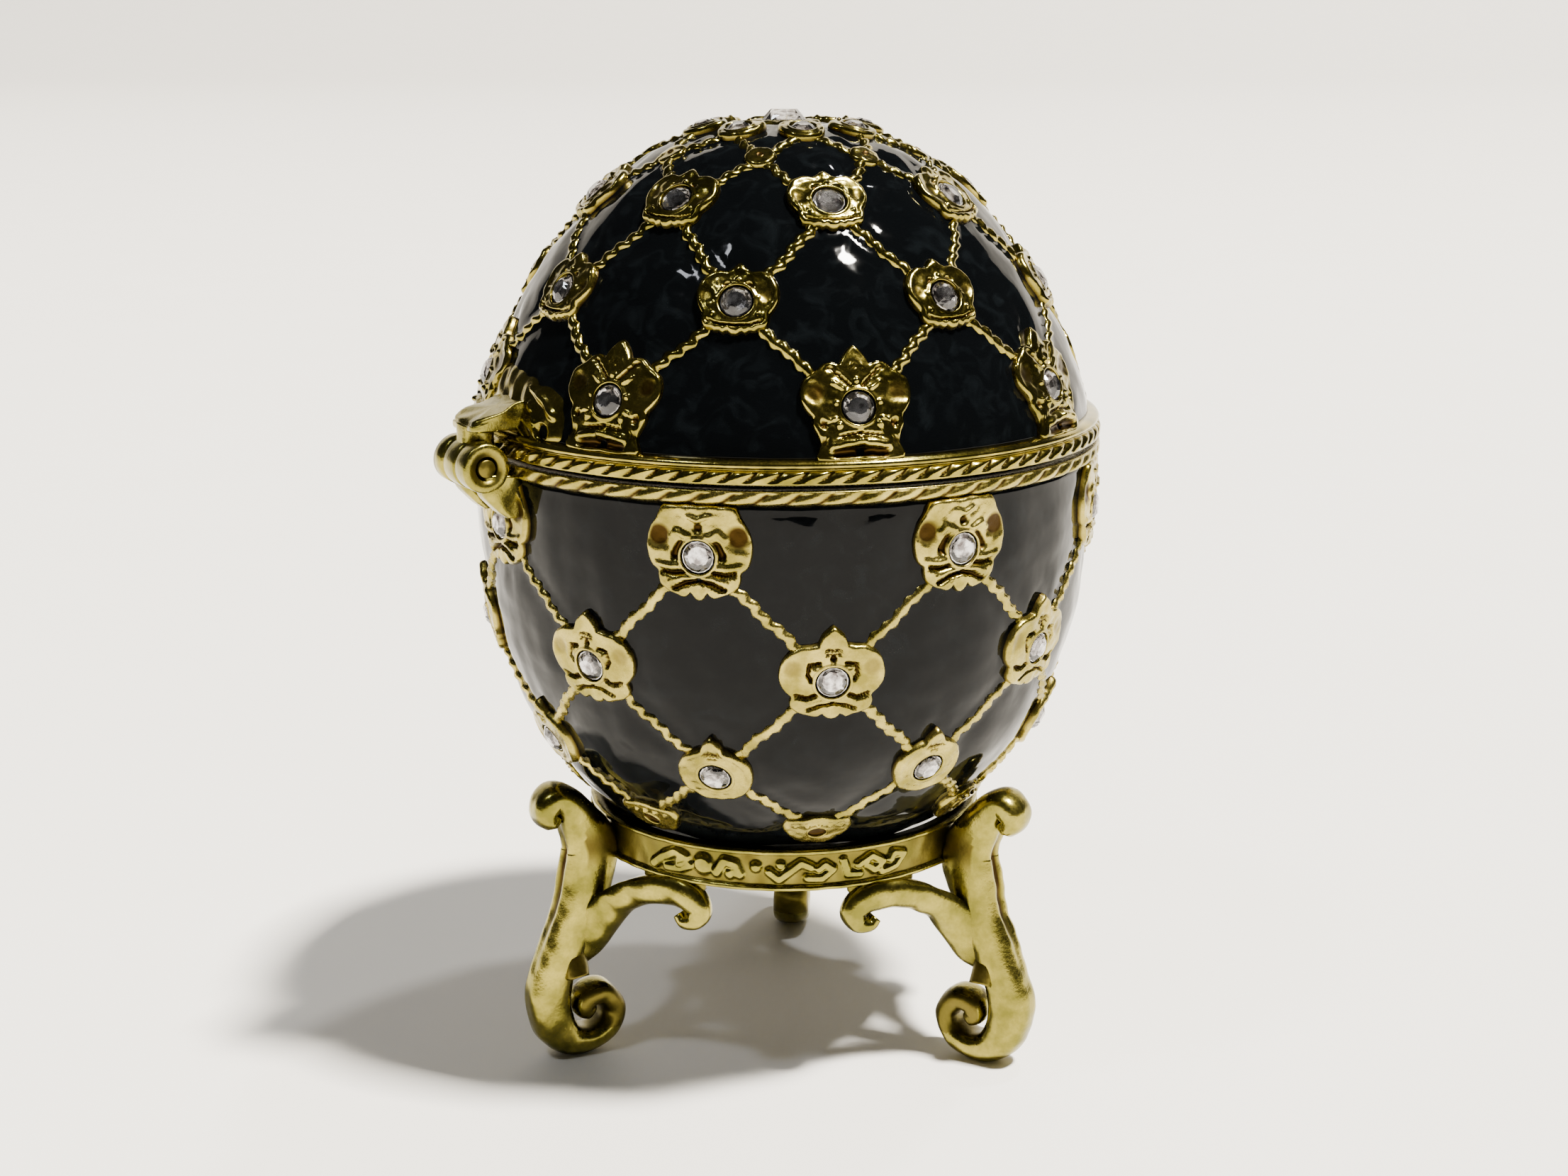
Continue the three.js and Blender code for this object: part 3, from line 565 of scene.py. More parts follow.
def stroke_relief(strokes: Sequence[Stroke], x: Array, y: Array) -> Array:
    """Height of a relief: each stroke's lift, times a smooth step of the distance to its line.

    Args:
        strokes: the relief's strokes.
        x: distance to the right.
        y: distance up.

    Returns:
        The sum of the strokes' heights at every place.
    """
    height = np.zeros(np.broadcast(x, y).shape)
    for stroke in strokes:
        for side in (1, -1) if stroke.mirrored else (1,):
            near = np.full(height.shape, np.inf)
            ends = list(stroke.path) + ([stroke.path[0]] if len(stroke.path) == 1 else [])
            for (ax, ay), (bx, by) in zip(ends[:-1], ends[1:]):
                px, py, dx, dy = side * x - ax, y - ay, bx - ax, by - ay
                t = np.clip((px * dx + py * dy) / max(dx * dx + dy * dy, 1e-9), 0, 1)
                near = np.minimum(near, np.hypot(px - t * dx, py - t * dy))
            height += stroke.lift * smooth((stroke.half - near) / (0.65 * stroke.half))
    return height


@dataclass
class Medallion:
    """A lobed cast medallion with a stone's seat in its middle.

    The right half of the outline is given from the bud at the top to the foot, in mm from the
    stone's middle. Along each spoke the surface runs from the seat's floor up its wall, over a
    raised collet and the face, and down into the enamel.
    """

    half_outline: Sequence[tuple[float, float]]
    strokes: Sequence[Stroke] = ()
    proud: float = 0.6
    seat: float = 1.0
    floor: float = 0.1
    collet: float = 0.07
    dish: float = 0.0            # how far the face sinks between seat and rim
    rim: float = 0.0             # height of a raised edge
    columns: int = 108
    face_rows: int = 18
    soften: float = 1.2          # degrees over which the outline's corners are eased

    def edge(self, angle: Array) -> Array:
        """Distance from the middle to the outline at an angle from +x, anticlockwise."""
        p = np.asarray(self.half_outline, float)
        at = np.degrees(np.arctan2(p[:, 1], p[:, 0]))
        r = np.hypot(p[:, 0], p[:, 1])
        fine = np.arange(-90.0, 90.01, 0.5)
        half = np.interp(fine, at[::-1], r[::-1])
        circle = np.concatenate([half, half[-2:0:-1]])
        kernel = np.exp(-0.5 * (np.arange(-8, 9) * 0.5 / self.soften) ** 2)
        padded = np.concatenate([circle[-8:], circle, circle[:8]])
        eased = np.convolve(padded, kernel / kernel.sum(), mode="valid")
        turn = (np.degrees(angle) + 90.0) % 360.0
        return np.interp(turn, np.arange(len(eased) + 1) * 0.5, np.append(eased, eased[0]))

    def grid(self) -> tuple[Array, Array, Array, Array]:
        """Local x, y, lift and darkness (patina and painted shade) of every corner, rows from seat
        to back.
        """
        angle = np.arange(self.columns) * 2 * np.pi / self.columns
        edge = self.edge(angle)[None, :]
        seat, proud = self.seat, self.proud
        inner_r = np.array([0.5, 0.94, 1.0, 1.0, 1.03, 1.12, 1.2])[:, None] * seat
        collet = proud + self.collet
        inner_z = np.array([
            self.floor, self.floor, self.floor + 0.06, collet - 0.05, collet, collet, proud])
        t = np.linspace(0.04, 1.0, self.face_rows)[:, None]
        begin, bevel = 1.24 * seat, 0.2
        face_r = begin + (edge - bevel - begin) * t
        outer = np.array([-0.1, -0.03, 0.0, 0.03, 0.06, 0.06])[:, None]
        drop = np.array([0.05, 0.14, 0.27, 0.5, 0.75, 0.95])
        outer_r = edge + outer
        back_r = edge * np.array([0.6, 0.25])[:, None]
        r = np.concatenate([inner_r + 0 * edge, face_r, outer_r, back_r])
        x, y = r * np.cos(angle), r * np.sin(angle)
        relief = stroke_relief(self.strokes, x, y)
        bowl = -self.dish * np.sin(np.pi * np.clip((r - begin) / (edge - begin), 0, 1))
        lip = self.rim * smooth(1 - np.abs((edge - r) - 0.28) / 0.28)
        plate = np.concatenate([
            inner_z, np.full(self.face_rows, proud), proud - drop, [proud - 0.95] * 2])[:, None]
        on_face = np.zeros(len(r))
        on_face[len(inner_z):len(inner_z) + self.face_rows] = 1.0
        on_face[len(inner_z) - 1] = 0.5
        on_face[len(inner_z) + self.face_rows] = 0.8
        weight = on_face[:, None]
        z = plate + weight * (relief + bowl + lip)
        # Darker on the seat's floor under the stone, down the foot into the enamel and in sunk
        # relief: patina and painted shade.
        dark = np.concatenate([
            [1.0, 1.0, 1.0, 0.35, 0.0, 0.0, 0.45], np.zeros(self.face_rows),
            [0.0, 0.15, 0.5, 0.9, 1.0, 1.0], [1.0, 1.0]])[:, None]
        sunk = np.clip(-(relief + 0.6 * bowl) / 0.16, 0, 1) * weight
        return x, y, z, np.clip(dark + sunk, 0, 1)

    def on(self, shell: EggShell, azimuth: float, s: float, seed: int) -> Surface:
        """The medallion laid on a shell, its bud towards the top of the egg."""
        x, y, lift, dark = self.grid()
        along = s + shell.up * y
        turn = azimuth + np.degrees(x / shell.radius_at(along))
        flat = np.stack([x, y, np.full_like(x, seed * 7.0)], axis=-1)
        uneven = 0.035 * ripples(flat, 1.5, seed) + 0.02 * ripples(flat, 0.6, seed + 50)
        face = smooth((np.hypot(x, y) - self.seat * 1.1) / 0.3) * smooth(lift / 0.3)
        return closed_grid(shell.place(turn, along, lift + uneven * face), dark)


def right_half(*points: tuple[float, float]) -> list[tuple[float, float]]:
    """An outline's right half with its ends pulled onto the middle line."""
    return [(1e-4, points[0][1]), *points[1:-1], (1e-4, points[-1][1])]


CARTOUCHE_CUTS = (
    Stroke(((-0.42, 2.02), (0.42, 2.02)), 0.1, -0.22),
    Stroke(((0.0, 1.5),), 0.26, -0.3),
    Stroke(((-0.4, 1.78), (0.4, 1.78)), 0.1, -0.14),
    Stroke(((0.78, 1.2), (1.35, 1.12), (1.45, 0.5), (1.22, 0.1)), 0.15, -0.3, True),
    Stroke(((1.05, 0.75),), 0.16, 0.12, True),
    Stroke(((0.95, -0.82), (1.5, -1.02), (2.1, -0.82)), 0.17, -0.32, True),
    Stroke(((2.1, -0.82),), 0.12, 0.22, True),
    Stroke(((0.0, -1.36), (0.75, -1.52), (1.4, -1.82)), 0.12, -0.3, True),
    Stroke(((0.0, -1.16), (0.8, -1.28), (1.5, -1.5)), 0.16, 0.06, True),
    Stroke(((2.3, 0.9),), 0.9, -0.08, True),
)

BOWL_LARGE = Medallion(
    right_half((0, 3.5), (0.3, 3.2), (0.62, 2.95), (0.78, 2.62), (0.82, 2.35), (1.3, 2.25),
               (1.95, 2.2), (2.55, 1.85), (2.98, 1.2), (3.12, 0.5), (3.0, -0.2), (2.6, -0.75),
               (2.32, -0.98), (2.45, -1.25), (2.42, -1.62), (2.05, -1.98), (1.4, -2.2),
               (0.85, -2.38), (0.66, -2.28), (0.58, -2.05), (0.45, -2.3), (0.3, -2.45), (0, -2.5)),
    CARTOUCHE_CUTS, floor=0.16)

BOWL_SKIRTED = Medallion(
    right_half((0, 3.0), (1.2, 3.0), (2.15, 2.95), (2.5, 2.2), (2.9, 1.5), (3.1, 0.7),
               (3.05, 0.0), (2.85, -0.6), (2.4, -0.95), (2.42, -1.3), (2.3, -1.75), (1.9, -2.1),
               (1.4, -2.3), (0.85, -2.5), (0.62, -2.35), (0.52, -2.05), (0.38, -2.35),
               (0.2, -2.6), (0, -2.65)),
    (
        Stroke(((0.55, 1.15), (1.2, 1.45), (1.6, 1.1)), 0.26, 0.16, True),
        Stroke(((1.0, 0.6), (1.3, 0.1)), 0.42, -0.34, True),
        Stroke(((-0.5, 2.35), (0.0, 2.15), (0.6, 2.4)), 0.2, 0.16),
        Stroke(((0.0, 1.7),), 0.34, -0.22),
        Stroke(((0.9, -0.55), (1.6, -0.62), (2.4, -0.5)), 0.22, 0.12, True),
        Stroke(((0.85, -0.92), (1.5, -1.05), (2.1, -0.95)), 0.16, -0.34, True),
        Stroke(((0.0, -1.4), (0.8, -1.6), (1.5, -1.95)), 0.17, -0.34, True),
        Stroke(((0.0, -1.12), (0.9, -1.25), (1.7, -1.55)), 0.16, 0.1, True),
        Stroke(((2.3, 1.2),), 1.0, -0.16, True),
    ),
    floor=0.12)

BOWL_SMALL = Medallion(
    right_half((0, 2.95), (0.35, 2.6), (0.62, 2.3), (0.6, 2.05), (1.2, 1.85), (1.8, 1.45),
               (2.2, 0.8), (2.28, 0.1), (2.1, -0.7), (1.75, -1.3), (1.1, -1.75), (0.5, -1.92),
               (0, -1.95)),
    (
        Stroke(((-0.22, 1.42), (0.22, 1.42)), 0.1, -0.24),
        Stroke(((0.0, 2.3),), 0.35, 0.1),
        Stroke(((0.0, 1.75), (0.5, 1.7)), 0.12, -0.16, True),
    ),
    floor=0.02, collet=0.0, rim=0.05, columns=96, face_rows=12)

BOWL_TINY = Medallion(
    right_half((0, 1.5), (0.9, 1.35), (1.9, 1.2), (2.15, 0.5), (1.8, -0.3), (1.2, -1.2),
               (0.6, -1.5), (0, -1.6)),
    (
        Stroke(((0.0, 0.9),), 0.22, 0.2),
        Stroke(((0.7, 0.85),), 0.2, 0.18, True),
        Stroke(((1.4, 0.75),), 0.2, 0.16, True),
    ),
    proud=0.5, seat=0.55, floor=0.35, columns=72, face_rows=10)

LID_SKIRTED = Medallion(
    right_half((0, 3.75), (0.3, 3.45), (0.62, 3.05), (0.8, 2.7), (0.85, 2.5), (1.25, 2.72),
               (1.75, 2.62), (2.2, 2.2), (2.6, 1.95), (3.0, 1.65), (3.2, 1.1), (3.2, 0.4),
               (2.9, -0.2), (2.6, -0.5), (2.65, -0.95), (2.45, -1.45), (2.25, -1.9),
               (2.35, -2.4), (2.75, -2.95), (1.4, -3.0), (0, -3.0)),
    (
        Stroke(((-0.4, 2.3), (0.4, 2.34)), 0.16, 0.12),
        Stroke(((-0.3, 2.32), (0.3, 2.34)), 0.08, -0.24),
        Stroke(((0.35, 1.25), (1.1, 2.0), (1.5, 2.35)), 0.12, -0.2, True),
        Stroke(((0.75, 1.05), (1.35, 1.45)), 0.17, 0.14, True),
        Stroke(((0.0, 1.55),), 0.2, 0.2),
        Stroke(((1.2, 0.28),), 0.2, 0.18, True),
        Stroke(((1.15, -0.98),), 0.22, 0.2, True),
        Stroke(((1.25, -0.62), (1.75, -0.7)), 0.1, 0.16, True),
        Stroke(((2.02, -0.95),), 0.28, -0.3, True),
        Stroke(((2.02, -0.95),), 0.12, 0.2, True),
        Stroke(((0.0, -1.45), (1.2, -1.62)), 0.11, -0.2, True),
        Stroke(((0.0, -1.92), (0.8, -1.98), (1.45, -2.15)), 0.3, 0.2, True),
        Stroke(((0.0, -2.5), (1.4, -2.6)), 0.34, -0.3, True),
        Stroke(((2.05, -1.95),), 0.3, -0.14, True),
        Stroke(((2.35, 0.9),), 0.95, -0.12, True),
    ),
    floor=0.16)

LID_ROUND = Medallion(
    right_half((0, 2.6), (0.25, 2.35), (0.5, 2.1), (0.75, 1.95), (1.35, 2.0), (1.9, 1.7),
               (2.3, 1.05), (2.4, 0.3), (2.2, -0.35), (1.95, -0.75), (1.95, -1.2), (1.75, -1.6),
               (1.35, -1.62), (1.12, -1.82), (0.9, -1.68), (0.65, -1.9), (0.4, -1.72),
               (0.2, -1.95), (0, -1.95)),
    (
        Stroke(((0.62, 0.98),), 0.32, -0.2, True),
        Stroke(((0.0, 1.35),), 0.18, 0.16),
        Stroke(((0.0, 2.0),), 0.3, 0.1),
        Stroke(((1.15, 0.25),), 0.18, 0.12, True),
        Stroke(((1.3, -0.75),), 0.15, 0.14, True),
        Stroke(((0.0, -1.42), (0.9, -1.36), (1.6, -1.15)), 0.11, -0.24, True),
        Stroke(((1.75, 0.4),), 0.6, -0.1, True),
    ),
    floor=0.1, rim=0.05, columns=96, face_rows=12)

LID_TINY = Medallion(
    right_half((0, 1.55), (0.4, 1.38), (0.9, 1.28), (1.3, 0.9), (1.42, 0.2), (1.3, -0.4),
               (1.1, -0.85), (0.7, -1.2), (0.35, -1.3), (0, -1.35)),
    (Stroke(((0.0, 1.2),), 0.2, 0.14),),
    seat=0.82, floor=0.2, proud=0.62, columns=64, face_rows=5, soften=2.5)

CROSSING_PAD = Medallion(
    right_half((0, 0.95), (0.55, 0.8), (0.85, 0.4), (1.0, 0.0), (0.85, -0.4), (0.55, -0.8),
               (0, -0.95)),
    (), proud=0.46, seat=0.2, floor=0.44, collet=0.0, columns=36, face_rows=4, soften=4.0)


@dataclass(frozen=True)
class Row:
    """Eight equal crossings of the trellis."""

    azimuth: float
    s: float
    medallion: Medallion
    trim: float                  # how far from its middle the ribs start
    stone: float = 0.0           # radius of the stone, or none
    name: str = ""

    def azimuths(self) -> Array:
        """Azimuth of each crossing."""
        return self.azimuth + STEP * np.arange(PER_ROW)


@dataclass
class Trellis:
    """The ribs between the rows: two strands twisted together, worn flat on top.

    Across a rib the surface is an oval whose radius swells by the cosine of twice the angle
    less the twist, and along it the twist grows evenly.
    """

    shell: EggShell
    rows: Sequence[Row]
    half_width: float = 0.4
    height: float = 0.44
    sunk: float = -0.06          # lift of the oval's middle
    lump_mm: float = 0.95        # length of one lump of the twist
    swell: float = 0.2
    worn: float = 0.44           # lift at which the tops are worn flat
    columns: int = 10
    step_mm: float = 0.16

    def lines(self) -> list[tuple[float, float, float, float, float, float]]:
        """Azimuth and length of both ends of every rib, with how much is trimmed there."""
        found = []
        for near, far in zip(self.rows[:-1], self.rows[1:]):
            for azimuth in near.azimuths():
                for side in (-1, 1):
                    found.append((azimuth, near.s, azimuth + side * STEP / 2, far.s,
                                  near.trim, far.trim))
        return found

    def rib(self, line: tuple[float, float, float, float, float, float], seed: int) -> Surface:
        """One rib as a closed tube along its line."""
        a0, s0, a1, s1, trim0, trim1 = line
        middle = float(self.shell.radius_at(np.array((s0 + s1) / 2)))
        length = np.hypot(np.radians(a1 - a0) * middle, s1 - s0)
        rows = max(int((length - trim0 - trim1) / self.step_mm), 6)
        t = np.linspace(trim0 / length, 1 - trim1 / length, rows)[:, None]
        phi = (np.arange(self.columns) * 2 * np.pi / self.columns)[None, :]
        twist = np.pi * t * length / self.lump_mm + seed
        r = 1 + self.swell * np.cos(2 * (phi - twist))
        across = self.half_width * r * np.cos(phi)
        lift = self.sunk + self.height * r * np.sin(phi)
        top = self.worn + 0.04 * np.sin(7.0 * t * length / 3 + seed)
        lift = np.where(lift > top, top + 0.25 * (lift - top), lift)
        azimuth, s = a0 + (a1 - a0) * t, s0 + (s1 - s0) * t
        lean = np.arctan2(s1 - s0, np.radians(a1 - a0) * middle)
        wander = 0.06 * np.sin(2.3 * t * length + seed * 2.0)
        side = across + wander
        turn = azimuth + np.degrees(-side * np.sin(lean) / np.maximum(self.shell.radius_at(s), 1))
        # Darker low on the flanks and in the twist's grooves: patina and painted shade.
        dark = np.clip(0.9 - 1.6 * (lift - 0.02) / self.height, 0, 1) * 0.8
        notch = 0.5 * smooth(0.55 - np.abs(np.cos(phi - twist)))
        places = self.shell.place(turn, s + side * np.cos(lean), lift)
        return closed_grid(places, np.clip(dark + notch * (lift > 0), 0, 1))

    def surface(self) -> Surface:
        """All the ribs."""
        return joined([self.rib(line, n) for n, line in enumerate(self.lines())])


@dataclass
class EnamelSkin:
    """Black enamel that fills the cells of one half, up to the ribs and medallions.

    Its lift is a low edge, plus a pillow that grows with the distance d to the nearest metal as
    1 - exp(-d / fade), plus a thin lip that climbs the metal as exp(-d / lip), plus swell.
    """

    shell: EggShell
    trellis: Trellis
    start: float
    end: float
    edge: float = 0.06
    pillow: float = 0.26
    fade: float = 1.3
    lip_lift: float = 0.12
    lip: float = 0.14
    columns: int = 448
    rows: int = 88

    def distance(self, azimuth: Array, s: Array) -> Array:
        """Distance in mm from each place on the shell to the nearest metal."""
        r = self.shell.radius_at(s)
        near = np.minimum(s - self.start, self.end - s + 0.3) * np.ones_like(azimuth)
        for a0, s0, a1, s1, _, _ in self.trellis.lines():
            dx = np.radians(a1 - a0) * r
            dy = s1 - s0
            px = np.radians((azimuth - a0 + 180) % 360 - 180) * r
            py = s - s0
            t = np.clip((px * dx + py * dy) / (dx * dx + dy * dy), 0, 1)
            near = np.minimum(near, np.hypot(px - t * dx, py - t * dy) - self.trellis.half_width)
        for row in self.trellis.rows:
            for centre in row.azimuths():
                px = np.radians((azimuth - centre + 180) % 360 - 180) * r
                py = self.shell.up * (s - row.s)
                reach = np.hypot(px, py)
                inside = row.medallion.edge(np.arctan2(py, px))
                near = np.minimum(near, reach - inside)
        return np.maximum(near, 0.0)

    def surface(self) -> Surface:
        """The skin, closed by an inner side that lies under the metal."""
        azimuth = np.arange(self.columns) * 360.0 / self.columns
        s = np.linspace(self.start, self.end, self.rows)
        grid_a, grid_s = np.meshgrid(azimuth, s)
        d = self.distance(grid_a, grid_s)
        flat = self.shell.place(grid_a, grid_s, np.zeros_like(grid_a))
        swell = 0.05 * ripples(flat, 4.2, 3) + 0.026 * ripples(flat, 1.9, 4)
        fill = 1 - np.exp(-d / self.fade)
        lift = self.edge + (self.pillow + swell) * fill + self.lip_lift * np.exp(-d / self.lip)
        outer = self.shell.place(grid_a, grid_s, lift)
        back_s = np.linspace(self.end, self.start, 9)
        inner = self.shell.place(azimuth[None, :], back_s[:, None], np.full((9, 1), -0.12))
        return closed_grid(np.concatenate([outer, inner]), ring=True)


@dataclass
class RopeMoulding:
    """A rope-cut moulding round a rim: leaning strands between two smooth lips.

    Round the rim and up the face, each strand is a half wave of a phase that leans with height,
    raised to a power below one so that the grooves are narrow.
    """

    shell: EggShell
    strands: int
    lean: float                  # strands that a groove leans over, from bottom to top
    profile: Sequence[tuple[float, float, float]]   # w, radius, share of the rope cut
    groove: float = 0.26
    per_strand: int = 10
    rows: int = 24

    def surface(self) -> Surface:
        """The moulding as a closed ring with a plain back."""
        p = np.asarray(self.profile, float)
        run = np.concatenate([[0], np.cumsum(np.hypot(*np.diff(p[:, :2], axis=0).T))])
        even = np.linspace(0, run[-1], self.rows)
        w, r, cut = (np.interp(even, run, column)[:, None] for column in p.T)
        columns = self.strands * self.per_strand
        azimuth = np.arange(columns) * 360.0 / columns
        low, high = p[p[:, 2] > 0, 0].min(), p[p[:, 2] > 0, 0].max()
        rise = (w - low) / (high - low)
        phase = azimuth[None, :] / 360 * self.strands - self.shell.up * self.lean * rise
        wave = np.abs(np.sin(np.pi * phase)) ** 0.7
        uneven = 0.03 * np.sin(np.radians(azimuth * 5))[None, :] + 0 * w
        out = r - cut * (self.groove * (1 - wave) + uneven)
        z = self.shell.seam + self.shell.up * w + 0 * out
        dark = cut * np.clip(1.15 - 1.5 * wave, 0, 1)
        back_w = np.array([p[-1, 0], p[0, 0]])
        back = around_axis(azimuth[None, :], np.full((2, 1), p[:, 1].min() - 0.5),
                           self.shell.seam + self.shell.up * back_w[:, None])
        front = around_axis(azimuth[None, :], out, z)
        shade = np.concatenate([dark, np.ones((2, len(azimuth)))])
        return closed_grid(np.concatenate([front, back]), shade, ring=True)


def cast_shell(
    shell: EggShell, wall: float, edge: float, start: float, columns: int = 192
) -> Surface:
    """The plain metal of one half: under the enamel outside, a rounded rim, and a bare inside.

    Args:
        shell: the half's outline.
        wall: thickness of the wall.
        edge: distance of the rim from the seam.
        start: length along the outline where the outside leaves the moulding.
        columns: columns round the axis.

    Returns:
        The closed shell.
    """
    inner = shell.thinner(wall)
    s_in = np.linspace(inner.s[-1] * 0.998, inner.at_height(edge + 0.25), 44)
    r_in, w_in = inner.radius_at(s_in), np.interp(s_in, inner.s, inner.w)
    rim_in, rim_out = float(r_in[-1]), shell.radius - 0.1
    rim_r = np.array([rim_in + 0.06, rim_in + 0.22, rim_out - 0.2, rim_out, rim_out])
    rim_w = np.array([edge + 0.08, edge, edge, edge + 0.15, edge + 0.8])
    s_out = np.linspace(start, shell.s[-1] * 0.998, 40)
    r_out, w_out = shell.radius_at(s_out) - 0.2, np.interp(s_out, shell.s, shell.w)
    r = np.concatenate([r_in, rim_r, np.maximum(r_out, 0.02)])[:, None]
    w = np.concatenate([w_in, rim_w, w_out - 0.1 * (w_out / shell.height) ** 2])[:, None]
    azimuth = (np.arange(columns) * 360.0 / columns)[None, :]
    places = around_axis(azimuth, r + 0 * azimuth, shell.seam + shell.up * w + 0 * azimuth)
    # Painted shade inside: the bare inside darkens from the rim (0.2) to the deepest point (0.55);
    # the hidden outside is dark.
    dark = np.concatenate([np.linspace(0.55, 0.2, 44), [0.1, 0.0, 0.0, 0.5, 1.0], np.ones(40)])
    return closed_grid(places, dark[:, None])


@dataclass(frozen=True)
class CutStone:
    """A round machine-cut stone: an eight-sided table, kite facets, a girdle and a pointed back.

    Rings of sixteen corners carry the facets. On the table and in the pavilion every other
    corner lies on the chord between its neighbours, so that the faces there are flat.
    """

    radius: float = 0.88
    table: float = 0.56          # share of the radius
    crown: float = 0.36          # height of the table above the girdle, as a share of the radius
    depth: float = 0.62          # depth of the point below the girdle, as a share of the radius

    def rings(self, crown: bool, grow: float = 0.0) -> Array:
        """Corners of the crown and pavilion, or of the pavilion alone, about the stone's axis."""
        angle = np.arange(16) * np.pi / 8
        odd = np.arange(16) % 2 == 1
        chord = np.where(odd, np.cos(np.pi / 8), 1.0)
        rows = [(0.12 * chord, -0.97 * self.depth), (0.5 * chord, -0.55 * self.depth),
                (np.full(16, 1.0), -0.05), (np.full(16, 1.0), 0.03)]
        if crown:
            rows += [(np.where(odd, 0.8, 0.84), 0.5 * self.crown), (self.table * chord, self.crown)]
        points = [np.stack([(r + grow) * np.cos(angle), (r + grow) * np.sin(angle),
                            np.full(16, z - grow)], axis=1) for r, z in rows]
        return np.array(points) * self.radius

    def glass(self) -> Surface:
        """The stone itself."""
        return closed_grid(self.rings(True))

    def foil(self) -> Surface:
        """A thin silvered cup under the stone's pointed back."""
        inside, outside = self.rings(False, 0.012), self.rings(False, 0.06)
        return closed_grid(np.concatenate([inside[::-1], outside]))


def stand_up(surface: Surface, origin: Array, out: Array, turn: float) -> Surface:
    """Moves a surface from about +z to stand at a place with its axis along out."""
    z = out / np.linalg.norm(out)
    x = np.cross([0.0, 0.0, 1.0], z)
    x = x / np.linalg.norm(x) if np.linalg.norm(x) > 1e-6 else np.array([1.0, 0.0, 0.0])
    y = np.cross(z, x)
    a, b = np.cos(turn) * x + np.sin(turn) * y, np.cos(turn) * y - np.sin(turn) * x
    p = surface.points
    moved = origin + p[:, :1] * a + p[:, 1:2] * b + p[:, 2:] * z
    return Surface(moved, surface.quads, surface.triangles, surface.patina_and_shade)


@dataclass
class EggHalf:
    """One half of the egg, with everything cast on it, its enamel and its stones."""

    name: str
    body: Body
    node: str
    shell: EggShell
    rows: Sequence[Row]
    rope: RopeMoulding
    gold: bpy.types.Material
    finishes: Finishes
    start: float
    end: float
    wall: float = 1.5
    edge: float = 0.17
    girdle_lift: float = 0.56

    def medallions(self) -> None:
        """Builds each row's medallions as one piece."""
        for n, row in enumerate(self.rows):
            cast = [row.medallion.on(self.shell, azimuth, row.s, 10 * n + k)
                    for k, azimuth in enumerate(row.azimuths())]
            make_piece(f"{self.name}_{row.name}", joined(cast), self.gold, self.body,
                       [self.node])

    def stones(self) -> None:
        """Builds each row's stones and the foil under them."""
        number = 0
        for n, row in enumerate(self.rows):
            if not row.stone:
                continue
            number += 1
            cut = CutStone(row.stone)
            glass, foil = [], []
            for k, azimuth in enumerate(row.azimuths()):
                low, high = self.shell.place(np.array(azimuth), np.array(row.s),
                                             np.array([0.0, 1.0]))
                origin = low + (high - low) * self.girdle_lift
                turn = 0.3 * k + n
                glass.append(stand_up(cut.glass(), origin, high - low, turn))
                foil.append(stand_up(cut.foil(), origin, high - low, turn))
            nodes = [f"{self.node.split('_')[1]}_stone_{number}_{k}" for k in range(1, PER_ROW + 1)]
            known = nodes if number <= SOLID_STONE_ROWS else []
            make_piece(f"{self.name}_stones_{number}", joined(glass), self.finishes.glass,
                       self.body, known, faceted=True)
            make_piece(f"{self.name}_foils_{number}", joined(foil), self.finishes.foil,
                       self.body, faceted=True)

    def build(self) -> None:
        """Builds the half."""
        trellis = Trellis(self.shell, self.rows)
        cast = cast_shell(self.shell, self.wall, self.edge, self.start)
        make_piece(f"{self.name}_shell", cast, self.gold, self.body, [self.node])
        skin = EnamelSkin(self.shell, trellis, self.start, self.end)
        make_piece(f"{self.name}_enamel", skin.surface(), self.finishes.enamel, self.body,
                   [self.node])
        make_piece(f"{self.name}_trellis", trellis.surface(), self.gold, self.body,
                   [self.node])
        make_piece(f"{self.name}_rope", self.rope.surface(), self.gold, self.body,
                   [self.node])
        self.medallions()
        self.stones()


def make_lid(finishes: Finishes) -> EggHalf:
    """The upper half: four rows of medallions that close in towards the crown stone."""
    shell = EggShell(19.85, 19.5, 2.4, 1.27, 1)
    first, second = 15.1, 15.1 - STEP / 2
    rows = [
        Row(first, shell.at_height(4.2), LID_SKIRTED, 2.2, 0.88, "medallions_1"),
        Row(second, shell.at_height(9.8), LID_ROUND, 1.7, 0.88, "medallions_2"),
        Row(first, shell.at_height(15.1), LID_ROUND, 1.7, 0.88, "medallions_3"),
        Row(second, shell.at_radius(8.3), CROSSING_PAD, 0.3, 0.0, "crossings"),
        Row(first, shell.at_radius(5.1), LID_TINY, 1.0, 0.72, "medallions_4"),
    ]
    rope = RopeMoulding(shell, 88, 0.55, (
        (0.17, 20.1, 0.0), (0.17, 20.36, 0.0), (0.21, 20.44, 0.0), (0.3, 20.44, 0.1),
        (0.4, 20.48, 1.0), (0.62, 20.5, 1.0), (0.84, 20.44, 1.0), (0.94, 20.3, 0.6),
        (0.99, 20.1, 0.0), (1.04, 20.12, 0.0), (1.12, 20.3, 0.0), (1.28, 20.36, 0.0),
        (1.45, 20.26, 0.0), (1.58, 20.0, 0.0), (1.62, 19.7, 0.0)))
    return EggHalf("lid", Body.LID, "egg_lid", shell, rows, rope, finishes.lid_gold_painted_shade, finishes,
                   shell.at_height(1.4), shell.at_radius(2.5))


